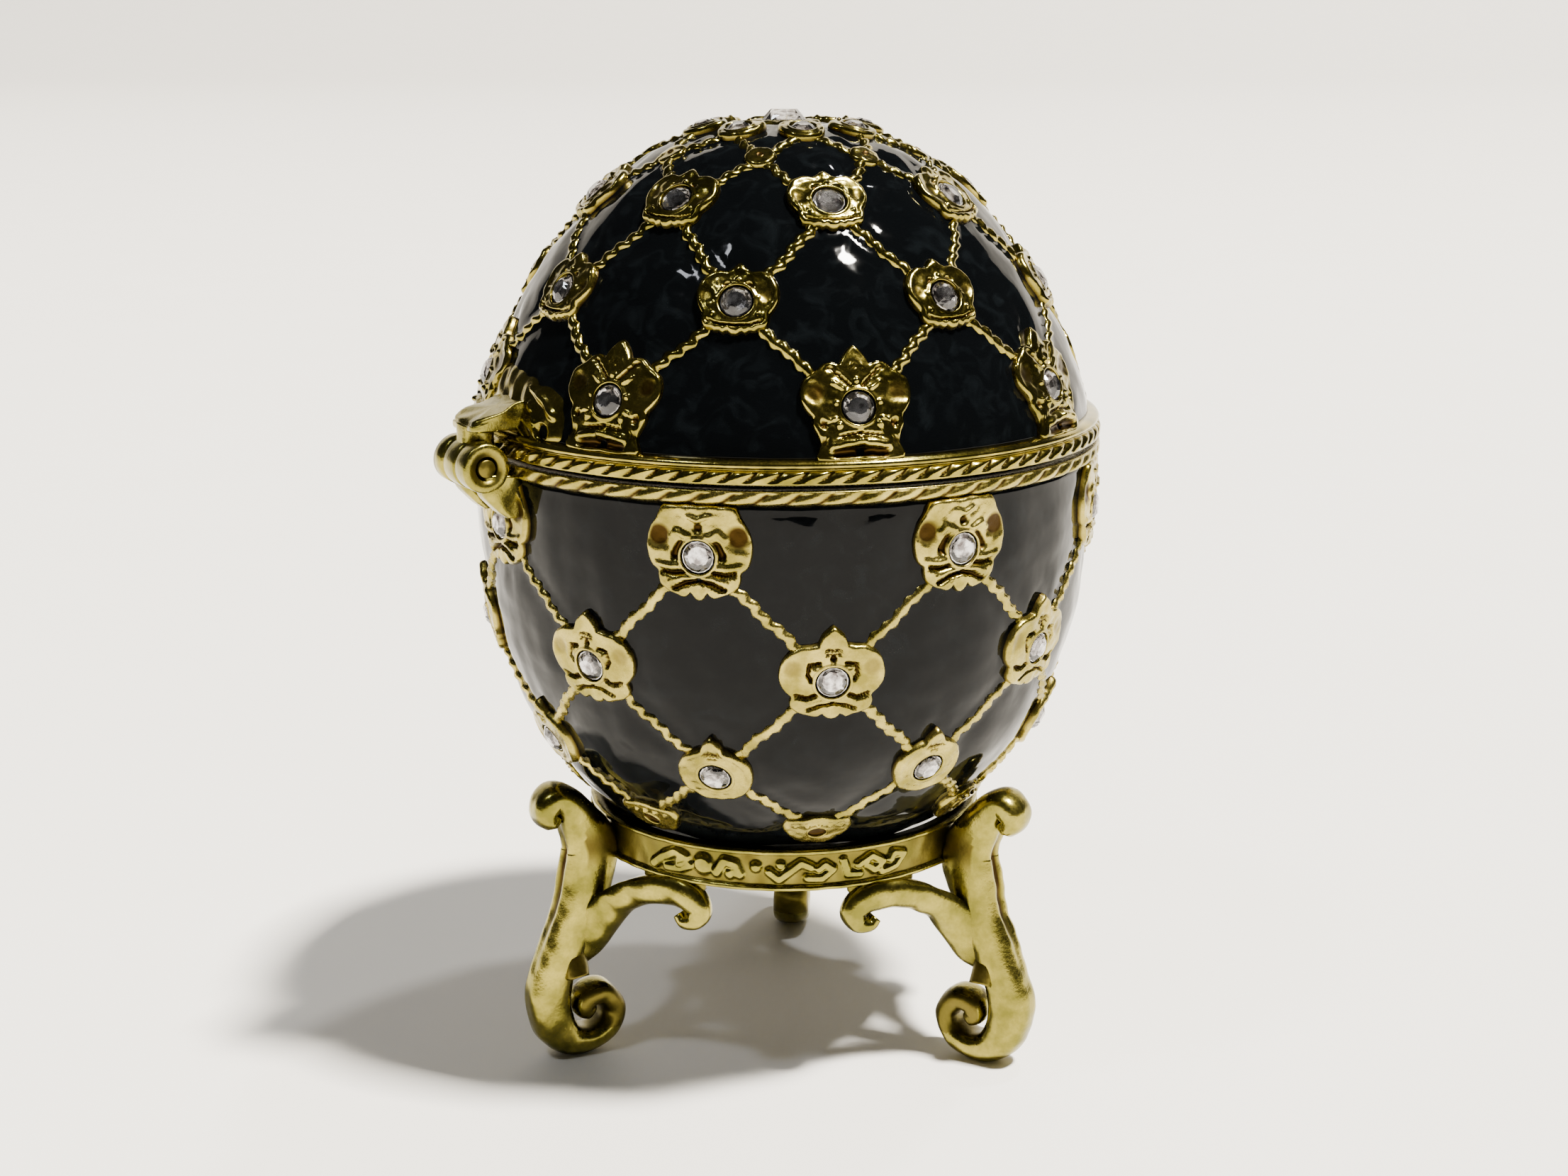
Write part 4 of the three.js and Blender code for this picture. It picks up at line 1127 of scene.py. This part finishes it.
def make_bowl(finishes: Finishes) -> EggHalf:
    """The lower half: three rows of jewelled medallions and a plain last row above the stand."""
    shell = EggShell(19.78, 28.58, 2.0, 2.707, -1)
    first, second = -11.8, -11.8 + STEP / 2
    rows = [
        Row(first, shell.at_height(4.1), BOWL_SKIRTED, 2.2, 0.88, "medallions_1"),
        Row(second, shell.at_height(11.6), BOWL_LARGE, 2.2, 0.88, "medallions_2"),
        Row(first, shell.at_height(18.2), BOWL_SMALL, 1.7, 0.88, "medallions_3"),
        Row(second, shell.at_height(22.6), BOWL_TINY, 1.0, 0.0, "medallions_4"),
    ]
    rope = RopeMoulding(shell, 68, 0.6, (
        (0.17, 20.1, 0.0), (0.17, 20.34, 0.0), (0.21, 20.42, 0.0), (0.28, 20.42, 0.2),
        (0.38, 20.47, 1.0), (0.62, 20.5, 1.0), (0.85, 20.46, 1.0), (0.98, 20.3, 1.0),
        (1.08, 20.0, 0.5), (1.14, 19.7, 0.0)))
    return EggHalf("bowl", Body.BASE, "egg_base", shell, rows, rope, finishes.bowl_gold_painted_light, finishes,
                   shell.at_height(1.0), shell.s[-1] - 3.0)


@dataclass
class Crown:
    """The boss at the top of the lid and the large stone in it."""

    height: float = 59.7
    foot: float = 2.5
    rim: float = 2.15
    proud: float = 0.55
    stone: CutStone = field(default_factory=lambda: CutStone(1.4, 0.6, 0.5, 0.5))
    beads: int = 12

    def boss(self) -> Surface:
        """A low turned collar with a beaded rim: its radius swells by a cosine of the azimuth."""
        profile = np.array([
            (0.6, 0.1), (1.3, 0.1), (1.42, 0.16), (1.45, 0.5), (1.52, 0.6), (1.75, 0.62),
            (self.rim, 0.52), (2.3, 0.3), (self.foot, 0.02), (self.foot + 0.15, -0.3), (1.0, -0.3)])
        azimuth = (np.arange(144) * 2.5)[None, :]
        out = profile[:, :1] + 0 * azimuth
        z = profile[:, 1:] + 0 * azimuth
        bead = 0.08 * np.cos(np.radians(azimuth) * self.beads) * smooth(1 - np.abs(out - 2.0) / 0.5)
        dark = np.array([1, 1, 1, 0.5, 0, 0, 0.1, 0.4, 0.8, 1, 1])[:, None]
        return closed_grid(around_axis(azimuth, out + bead, self.height + z + bead), dark)

    def build(self, finishes: Finishes) -> None:
        """Builds the boss, the stone and its foil."""
        make_piece("lid_crown_boss", self.boss(), finishes.lid_gold_painted_shade, Body.LID,
                   ["egg_lid"])
        origin = np.array([0.0, 0.0, self.height + 0.58])
        out = np.array([0.0, 0.0, 1.0])
        make_piece("lid_crown_stone", stand_up(self.stone.glass(), origin, out, 0.2),
                   finishes.glass, Body.LID, ["crown_stone"], faceted=True)
        make_piece("lid_crown_foil", stand_up(self.stone.foil(), origin, out, 0.2),
                   finishes.foil, Body.LID, faceted=True)


# ------------------------------------------------------------------ hinge


@dataclass
class Hinge:
    """Three knuckles on a pin at the left of the egg, a lug on the lid and a plate on the bowl.

    Local x points outwards, y along the pin towards the viewer and z up from the pin's axis.
    """

    azimuth: float = -56.8
    radius: float = 22.06
    height: float = 40.4
    knuckle: float = 1.5
    barrel_half: float = 2.45
    lid_half: float = 0.8
    gap: float = 0.2
    bore: float = 0.75

    def place(self, local: Array) -> Array:
        """Places in the box's frame from hinge coordinates."""
        turn = np.radians(self.azimuth)
        out = np.array([np.sin(turn), -np.cos(turn), 0.0])
        along = np.array([-np.cos(turn), -np.sin(turn), 0.0])
        x, y, z = local[..., :1], local[..., 1:2], local[..., 2:]
        return (self.radius + x) * out + y * along + (self.height + z) * np.array([0, 0, 1.0])

    def tube(self, start: float, end: float, recess: bool = False) -> Surface:
        """A knuckle: a bored tube with rounded ends, dented a little by wear."""
        r, b, f = self.knuckle, self.bore, 0.14
        if recess:
            profile = [(start, b), (start, r - f), (start + f, r), (end - f * 1.6, r),
                       (end - 0.05, r - 0.1), (end, r - 0.24), (end - 0.03, 1.16),
                       (end - 0.12, 1.08),
                       (end - 0.45, 1.05), (end - 0.45, b)]
        else:
            profile = [(start, b), (start, r - f), (start + f * 0.5, r - 0.03),
                       (start + f * 1.4, r),
                       (end - f * 1.4, r), (end - f * 0.5, r - 0.03), (end, r - f), (end, b)]
        y, rho = (np.array(column)[:, None] for column in zip(*profile))
        angle = (np.arange(72) * np.pi / 36)[None, :]
        dent = 0.02 * np.sin(3 * angle + 4 * y) * (rho > 1.2)
        local = np.stack([(rho + dent) * np.cos(angle), y + 0 * angle,
                          (rho + dent) * np.sin(angle)], axis=-1)
        dark = 0.6 * np.clip((r - 0.06 - rho) / 0.2, 0, 1)
        return closed_grid(self.place(local), dark, ring=True)

    def block(self, sections: Sequence[Sequence[float]], power: float = 5.0) -> Surface:
        """A lofted block: rounded rectangles |x/a|^p + |y/b|^p = 1 stacked up z.

        Args:
            sections: middle x, z, half length a, half width b and slope of the section's plane.
            power: the rectangle's roundness p.

        Returns:
            The closed block.
        """
        p = curve_through([(row[1], row[0], *row[2:]) for row in sections], 26)
        angle = (np.arange(64) * np.pi / 32)[None, :]
        c, s = np.cos(angle), np.sin(angle)
        scale = (np.abs(c) ** power + np.abs(s) ** power) ** (-1 / power)
        z, x, a, b, slope = (p[:, i:i + 1] for i in range(5))
        px, py = a * scale * c, b * scale * s
        local = np.stack([x + px, py, z + slope * px], axis=-1)
        uneven = 0.05 * ripples(local, 1.7, 21)[..., None]
        dark = np.clip(0.5 - 0.6 * (scale - 1), 0, 1) * 0.6
        return closed_grid(self.place(local + uneven), dark)

    def lug(self) -> Surface:
        """The lid's lug: a sloping slab over the barrel, a neck and the middle knuckle."""
        slab = self.block([
            (-1.35, 2.0, 1.7, 1.6, 0.0), (-1.35, 2.1, 1.85, 1.82, 0.0),
            (-1.4, 2.5, 1.9, 1.85, -0.05), (-1.5, 3.0, 1.9, 1.84, -0.3),
            (-1.55, 3.3, 1.84, 1.8, -0.34), (-1.6, 3.36, 1.6, 1.6, -0.34)], 12.0)
        neck = self.block([
            (-0.3, 0.9, 1.1, 0.78, 0.0), (-0.35, 1.6, 1.0, 0.78, 0.0), (-0.4, 2.4, 1.0, 0.8, 0.0)])
        return joined([slab, neck, self.tube(-self.lid_half, self.lid_half)])

    def plate(self) -> Surface:
        """The bowl's plate under the outer knuckles."""
        inner = self.lid_half + self.gap
        near = self.tube(inner, self.barrel_half, recess=True)
        far = self.tube(-self.barrel_half, -inner)
        bodies = []
        for low, high in ((inner, self.barrel_half - 0.05), (-self.barrel_half + 0.05, -inner)):
            y, half = (low + high) / 2, (high - low) / 2
            part = self.block([
                (-1.9, -3.2, 0.6, half, 0.0), (-1.6, -2.6, 1.0, half, 0.0),
                (-1.2, -1.6, 1.4, half, 0.0), (-1.1, -0.5, 1.2, half, 0.0)])
            turn = np.radians(self.azimuth)
            part.points = part.points + y * np.array([-np.cos(turn), -np.sin(turn), 0.0])
            bodies.append(part)
        return joined([near, far, *bodies])

    def pin(self) -> Surface:
        """The pin: a straight shaft and a flat head struck with a plain four-armed mark."""
        head = self.barrel_half - 0.25
        y = np.array([-2.45, -2.4, -1.0, 1.2, head - 0.1, head, head, head])[:, None]
        rho = np.array([0.5, 0.55, 0.55, 0.55, 0.55, 0.9, 0.98, 1.0])[:, None]
        angle = (np.arange(96) * np.pi / 48)[None, :]
        shaft = np.stack([rho * np.cos(angle), y + 0 * angle, rho * np.sin(angle)], axis=-1)
        r = np.linspace(1.0, 0.06, 16)[:, None]
        x, z = r * np.cos(angle), r * np.sin(angle)
        star = 0.5 + 0.5 * np.cos(4 * angle)
        mark = 0.11 * smooth((0.32 + 0.5 * star - r) / 0.16)
        ring = -0.06 * smooth(1 - np.abs(r - 0.86) / 0.09)
        top = head + 0.05 + mark + ring - 0.05 * smooth((r - 0.9) / 0.1)
        face = np.stack([x, top + 0 * x, z], axis=-1)
        dark = np.concatenate([np.full((8, 96), 0.6), np.clip(0.5 - mark * 5, 0, 1)])
        return closed_grid(self.place(np.concatenate([shaft, face])), dark)

    def gusset(self) -> Surface:
        """The plain gold patch cast on the lid round the lug, with a blowhole in it.

        Its height is a pillow over an oval in azimuth and length: 1 - (distance)^4.
        """
        shell = EggShell(19.85, 19.5, 2.4, 1.27, 1)
        angle = (np.arange(120) * np.pi / 60)[None, :]
        rho = np.concatenate([np.linspace(0.03, 1.0, 40), [1.0]])[:, None]
        wide = np.where(np.cos(angle) > 0, 6.2, 4.2)
        tall = np.where(np.sin(angle) > 0, 2.4, 1.9)
        power = 3.0
        scale = (np.abs(np.cos(angle)) ** power + np.abs(np.sin(angle)) ** power) ** (-1 / power)
        x, y = rho * scale * wide * np.cos(angle), rho * scale * tall * np.sin(angle)
        lean = -0.16 * np.maximum(x, 0)
        pit = -0.5 * smooth((0.5 - np.hypot(x - 4.1, y + 0.75)) / 0.2)
        lumps = stroke_relief((
            Stroke(((2.2, 1.4), (3.6, 1.0), (4.8, 0.4)), 0.35, 0.14),
            Stroke(((2.6, 0.4),), 0.5, 0.12), Stroke(((3.3, -0.4),), 0.3, 0.12),
            Stroke(((2.0, -0.9), (3.0, -1.4)), 0.35, -0.12)), x, y)
        lift = 0.42 * (1 - rho**6) + (pit + lumps) * smooth((1 - rho) / 0.1)
        lift = np.where(np.arange(41)[:, None] == 40, -0.3, lift)
        s = shell.at_height(3.3) + y + lean
        turn = self.azimuth + np.degrees(x / shell.radius_at(s))
        flat = shell.place(turn, s, lift)
        bumpy = shell.place(turn, s, lift + 0.06 * ripples(flat, 1.4, 33) * (1 - rho**4))
        dark = np.clip(-pit * 3 + np.clip(-lumps * 5, 0, 1) + 0.8 * smooth((rho - 0.9) / 0.1), 0, 1)
        return closed_grid(bumpy, dark)

    def build(self, finishes: Finishes) -> None:
        """Builds the lug and its patch, the plate with its knuckles, and the pin."""
        make_piece("lid_hinge_lug", self.lug(), finishes.stand_gold, Body.LID,
                   ["egg_lid"])
        make_piece("lid_hinge_gusset", self.gusset(), finishes.lid_gold_painted_shade, Body.LID,
                   ["egg_lid"])
        make_piece("bowl_hinge_plate", self.plate(), finishes.stand_gold, Body.BASE,
                   ["egg_base"])
        make_piece("hinge_pin_struck", self.pin(), finishes.stand_gold, Body.BASE,
                   ["hinge_pin"])


# ------------------------------------------------------------------ stand


@dataclass
class Stand:
    """A round band on three scrolled legs, with a curled bracket on each side of each leg."""

    inner: float = 11.9
    outer: float = 12.85
    bottom: float = 13.4
    top: float = 16.15
    legs: tuple[float, ...] = (-60.0, 60.0, 180.0)

    def band(self) -> Surface:
        """The band: raised wires at its edges and scrolls, leaves and beads between them."""
        columns = 960
        azimuth = (np.arange(columns) * 360.0 / columns)[None, :]
        z = np.concatenate([np.linspace(self.bottom, self.top, 40)])[:, None]
        along = np.radians((azimuth + 60.0) % 120.0 - 60.0) * self.outer
        middle = (self.bottom + self.top) / 2
        up = z - middle + 0 * along
        relief = stroke_relief((
            Stroke(((-8.4, -0.55), (-7.6, 0.1), (-6.7, 0.55), (-6.0, 0.3), (-6.4, 0.0)), 0.48, 0.3),
            Stroke(((-7.4, -0.6), (-6.4, -0.5), (-5.7, -0.2)), 0.42, 0.22),
            Stroke(((-4.7, 0.05),), 0.87, 0.42),
            Stroke(((-3.8, -0.35), (-3.3, 0.45), (-2.6, 0.3), (-2.3, -0.35)), 0.45, 0.3),
            Stroke(((-2.9, -0.35),), 0.50, 0.26),
            Stroke(((-1.25, 0.2),), 0.50, 0.3),
            Stroke(((-0.4, -0.1), (0.2, -0.55), (0.9, 0.0), (1.6, 0.5), (2.2, 0.2)), 0.42, 0.3),
            Stroke(((0.3, 0.35),), 0.42, 0.24),
            Stroke(((2.0, -0.5), (2.9, -0.55), (3.6, 0.0), (3.1, 0.35), (2.7, 0.05)), 0.39, 0.3),
            Stroke(((4.3, 0.5), (4.6, -0.45), (5.4, -0.5)), 0.36, 0.22),
            Stroke(((5.3, 0.1), (6.2, 0.6), (7.0, 0.1), (6.4, -0.4), (5.9, 0.0)), 0.39, 0.3),
            Stroke(((6.9, -0.6), (8.0, -0.4), (8.6, 0.3), (7.8, 0.5), (7.6, 0.1)), 0.39, 0.3),
        ), along, up)
        wire = 0.28 * smooth((np.abs(up) - 0.98) / 0.12) * smooth((1.42 - np.abs(up)) / 0.14)
        uneven = 0.02 * ripples(around_axis(azimuth, np.full_like(along, 12.85), z), 1.2, 61)
        face = self.outer - 0.06 + np.maximum(np.minimum(relief, 0.34), wire) + uneven
        front = around_axis(azimuth, face, z)
        inner = around_axis(azimuth, np.full((6, 1), self.inner),
                            np.linspace(self.top - 0.1, self.bottom + 0.1, 6)[:, None])
        # Darker in the low relief (patina and painted shade) and on the inner face (painted shade).
        dark = np.clip(0.55 - 3.2 * (face - self.outer + 0.06), 0, 1)
        shade = np.concatenate([dark, np.full((6, columns), 0.7)])
        return closed_grid(np.concatenate([front, inner]), shade, ring=True)

    @staticmethod
    def scroll(path: Sequence[Sequence[float]], count: int, columns: int = 40,
               crease: float = 0.0, power: float = 2.6) -> tuple[Array, Array]:
        """A bar carried along a flat path, its section a rounded oval.

        The section is |p/a|^n + |q/b|^n = 1, where p lies in the path's plane and q across it. A
        crease presses a groove into the middle of the outer face.

        Args:
            path: flat x, y, half thickness in the plane and half width across it.
            count: sections along the bar.
            columns: corners round a section.
            crease: depth of the groove, shared over the path by its fifth column.
            power: roundness n of the section.

        Returns:
            Flat x, flat y and the distance across, and the groove's darkness, patina and painted
            shade.
        """
        p = curve_through(path, count)
        tangent = np.gradient(p[:, :2], axis=0)
        tangent /= np.linalg.norm(tangent, axis=1, keepdims=True)
        normal = np.stack([-tangent[:, 1], tangent[:, 0]], axis=1)
        angle = (np.arange(columns) * 2 * np.pi / columns)[None, :]
        c, s = np.cos(angle), np.sin(angle)
        scale = (np.abs(c) ** power + np.abs(s) ** power) ** (-1 / power)
        a, b = p[:, 2:3], p[:, 3:4]
        depth = p[:, 4:5] if p.shape[1] > 4 else 0 * a
        inwards = a * scale * c
        across = b * scale * s
        groove = crease * depth * np.exp(-(across / 0.34) ** 2) * (c > 0)
        inwards = inwards - groove
        x = p[:, 0:1] + inwards * normal[:, 0:1]
        y = p[:, 1:2] + inwards * normal[:, 1:2]
        dark = np.clip(groove / 0.3, 0, 1) * 0.9 + 0 * x
        return np.stack([x, y, across + 0 * x], axis=-1), dark

    def leg(self, azimuth: float, seed: int) -> Surface:
        """One leg: out from the band, a curl at the top, a long cyma and an inward curl below."""
        path = (
            (16.85, 16.8, 0.5, 1.05, 0.0), (17.15, 16.5, 0.7, 1.2, 0.0),
            (17.45, 16.9, 0.85, 1.32, 0.0), (17.3, 17.5, 0.95, 1.4, 0.0),
            (16.7, 17.9, 0.92, 1.45, 0.0), (15.85, 17.3, 1.1, 1.42, 0.1),
            (15.1, 16.0, 1.45, 1.4, 0.5), (14.35, 14.2, 1.85, 1.42, 1.0),
            (14.7, 12.2, 1.85, 1.4, 1.0), (15.3, 10.2, 1.65, 1.38, 0.8),
            (16.15, 8.2, 1.5, 1.36, 0.4), (17.1, 6.0, 1.42, 1.35, 0.1),
            (17.55, 4.0, 1.45, 1.35, 0.0), (17.2, 2.3, 1.35, 1.35, 0.0),
            (16.2, 1.1, 1.1, 1.34, 0.0), (14.8, 0.88, 0.86, 1.33, 0.0),
            (13.5, 1.5, 0.8, 1.32, 0.0), (13.05, 2.8, 0.75, 1.3, 0.0),
            (13.8, 3.9, 0.8, 1.28, 0.0), (14.85, 3.8, 0.8, 1.25, 0.0),
            (15.1, 3.1, 0.75, 1.15, 0.0), (14.7, 2.7, 0.6, 1.0, 0.0),
        )
        flat, dark = self.scroll(path, 230, crease=0.4)
        rho, z, across = flat[..., 0], flat[..., 1], flat[..., 2]
        turn = np.radians(azimuth)
        out = np.array([np.sin(turn), -np.cos(turn), 0.0])
        side = np.array([np.cos(turn), np.sin(turn), 0.0])
        places = rho[..., None] * out + across[..., None] * side
        places = places + z[..., None] * np.array([0, 0, 1.0])
        uneven = 0.05 * ripples(places, 3.1, seed) + 0.02 * ripples(places, 1.1, seed + 9)
        lift = smooth(z / 0.8)
        places = places + (uneven * lift)[..., None] * (out + side * 0.5)
        places[..., 2] = np.maximum(places[..., 2], 0.0)
        # Painted shade inside the lower curl and where the leg meets the band, on top of the
        # groove's darkness.
        tucked_shade = 0.6 * smooth((rho < 15.6) * (z < 4.5) * (z > 1.6) * 1.0)
        joint_shade = 0.7 * np.exp(-((z - 14.6) / 1.6) ** 2) * (rho < 15.2)
        return closed_grid(places, np.clip(dark + tucked_shade + joint_shade, 0, 1))

    def bracket(self, azimuth: float, side: int, seed: int) -> Surface:
        """A bracket: from the leg's flank up and along below the band, ending in a small curl."""
        path = (
            (-0.9, 5.6, 0.7, 0.8, 0.0), (0.1, 7.5, 1.0, 0.95, 0.3), (1.0, 9.3, 1.05, 0.95, 0.5),
            (2.1, 10.8, 1.0, 0.9, 0.4), (3.4, 11.8, 0.98, 0.82, 0.3), (4.8, 12.35, 0.98, 0.78, 0.2),
            (6.3, 12.62, 1.0, 0.76, 0.0), (7.6, 12.5, 1.0, 0.76, 0.0),
            (8.45, 11.75, 0.85, 0.76, 0.0), (8.2, 10.95, 0.6, 0.72, 0.0),
            (7.4, 10.75, 0.48, 0.66, 0.0), (6.95, 11.15, 0.4, 0.58, 0.0),
        )
        flat, dark = self.scroll(path, 120, columns=28, crease=0.22, power=2.3)
        x, z, across = flat[..., 0], flat[..., 1], flat[..., 2]
        radius = self.outer - 0.1 + 3.2 * np.exp(-np.maximum(x, 0) / 1.7) + across
        turn = azimuth + side * np.degrees(x / self.outer)
        places = around_axis(turn, radius, z)
        uneven = 0.04 * ripples(places, 1.6, seed)[..., None]
        # Painted shade on the bracket near the leg's flank.
        near_leg_shade = 0.6 * smooth((2.2 - x) / 2.0)
        return closed_grid(places + uneven, np.clip(dark + near_leg_shade, 0, 1))

    def web(self, azimuth: float, side: int) -> Surface:
        """The thin metal between a bracket and the band: a small pillow."""
        angle = (np.arange(40) * np.pi / 20)[None, :]
        rho = np.array([0.1, 0.6, 0.9, 1.0, 1.0, 0.9, 0.6, 0.1])[:, None]
        depth = np.array([0.42, 0.4, 0.3, 0.15, -0.15, -0.3, -0.4, -0.42])[:, None]
        scale = (np.abs(np.cos(angle)) ** 4 + np.abs(np.sin(angle)) ** 4) ** -0.25
        x = 6.2 + 2.5 * rho * scale * np.cos(angle)
        z = 13.2 + 0.55 * rho * scale * np.sin(angle)
        radius = self.outer - 0.45 + depth + 0 * x
        # Painted shade: the web, set between bracket and band, is half dark all over.
        return closed_grid(around_axis(azimuth + side * np.degrees(x / self.outer), radius, z),
                           np.full((8, 1), 0.5))

    def build(self, finishes: Finishes) -> None:
        """Builds the band, the legs and the brackets."""
        make_piece("stand_band", self.band(), finishes.stand_gold, Body.BASE, ["stand"])
        legs = [self.leg(azimuth, 70 + n) for n, azimuth in enumerate(self.legs)]
        make_piece("stand_legs", joined(legs), finishes.stand_gold, Body.BASE, ["stand"])
        curls = []
        for n, azimuth in enumerate(self.legs):
            for side in (-1, 1):
                curls += [self.bracket(azimuth, side, 80 + 2 * n + side), self.web(azimuth, side)]
        make_piece("stand_brackets", joined(curls), finishes.stand_gold, Body.BASE,
                   ["stand"])


# ------------------------------------------------------------------ stage


@dataclass(frozen=True)
class Lamp:
    """A square soft lamp, aimed at the middle of the egg."""

    name: str
    place: tuple[float, float, float]   # mm
    size: float                         # mm
    power: float                        # watts
    colour: str = "#ffffff"

    def build(self) -> None:
        """Adds the lamp."""
        data = bpy.data.lights.new(self.name, "AREA")
        data.size = self.size * MM
        data.energy = self.power
        data.color = linear(self.colour)[:3]
        lamp = bpy.data.objects.new(self.name, data)
        bpy.context.scene.collection.objects.link(lamp)
        place = Vector(self.place) * MM
        lamp.location = place
        lamp.rotation_euler = (Vector((0, 0, 0.03)) - place).to_track_quat("-Z", "Y").to_euler()


@dataclass
class Stage:
    """The card sweep, the lamps, the room's light and the camera."""

    camera_place: tuple[float, float, float] = (5.8, -144.9, 65.7)
    camera_aim: tuple[float, float, float] = (0.0, 0.0, 29.8)
    focal_mm: float = 51.6
    flat_reach: float = 3000.0    # how far the floor is flat, in front and behind
    curve_radius: float = 2500.0
    wall_height: float = 4000.0
    half_width: float = 6000.0
    lamps: tuple[Lamp, ...] = (
        Lamp("key", (3150.0, -1140.0, 7500.0), 900.0, 3150.0, "#fff9ee"),
        Lamp("window", (-700.0, -500.0, 1500.0), 160.0, 5.0, "#f2f6ff"),
        Lamp("strip", (260.0, 300.0, 900.0), 60.0, 3.0, "#ffffff"),
    )

    def sweep(self) -> None:
        """A flat floor that rises in a curve far behind: a profile carried sideways."""
        bend, curve = np.linspace(0, np.pi / 2, 24), self.curve_radius
        flat = [-self.flat_reach, -400.0, 0.0, 400.0]
        wall = self.flat_reach + curve
        y = np.concatenate([flat, self.flat_reach + curve * np.sin(bend), [wall]])
        z = np.concatenate([[0.0] * 4, curve - curve * np.cos(bend), [self.wall_height]])
        x = np.linspace(-self.half_width, self.half_width, 11)
        grid = np.stack(np.broadcast_arrays(x[None, :], y[:, None], z[:, None]), axis=-1)
        rows, columns = len(y), len(x)
        i, j = np.meshgrid(np.arange(rows - 1), np.arange(columns - 1), indexing="ij")
        at = (i * columns + j).reshape(-1)
        faces = np.stack([at, at + 1, at + columns + 1, at + columns], axis=1)
        mesh = bpy.data.meshes.new("card_sweep")
        mesh.from_pydata((grid.reshape(-1, 3) * MM).tolist(), [], faces.tolist())
        mesh.polygons.foreach_set("use_smooth", np.full(len(faces), True))
        mesh.materials.append(PalePaper().build())
        floor = bpy.data.objects.new("card_sweep", mesh)
        bpy.context.scene.collection.objects.link(floor)

    def camera(self) -> None:
        """The camera at the viewing angle."""
        data = bpy.data.cameras.new("camera")
        data.lens = self.focal_mm
        data.sensor_width = 36.0
        data.clip_start = 0.005
        data.clip_end = 20.0
        camera = bpy.data.objects.new("camera", data)
        bpy.context.scene.collection.objects.link(camera)
        place, aim = Vector(self.camera_place) * MM, Vector(self.camera_aim) * MM
        camera.location = place
        camera.rotation_euler = (aim - place).to_track_quat("-Z", "Y").to_euler()
        bpy.context.scene.camera = camera

    def room(self) -> None:
        """The dim room round the table."""
        world = bpy.data.worlds.new("dim_room")
        world.use_nodes = True
        ground = world.node_tree.nodes["Background"]
        ground.inputs["Color"].default_value = linear("#dfe1e2")
        ground.inputs["Strength"].default_value = 0.06
        bpy.context.scene.world = world

    def build(self) -> None:
        """Builds the stage."""
        self.sweep()
        self.camera()
        self.room()
        for lamp in self.lamps:
            lamp.build()


def main() -> None:
    """Builds the box round its solids and the stage round the box."""
    logging.basicConfig(level=logging.INFO, format="%(name)s %(message)s")
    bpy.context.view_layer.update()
    Stage().build()
    finishes = Finishes()
    make_bowl(finishes).build()
    make_lid(finishes).build()
    Crown().build(finishes)
    Hinge().build(finishes)
    Stand().build(finishes)
    bpy.context.view_layer.update()


if __name__ == "__main__":
    main()
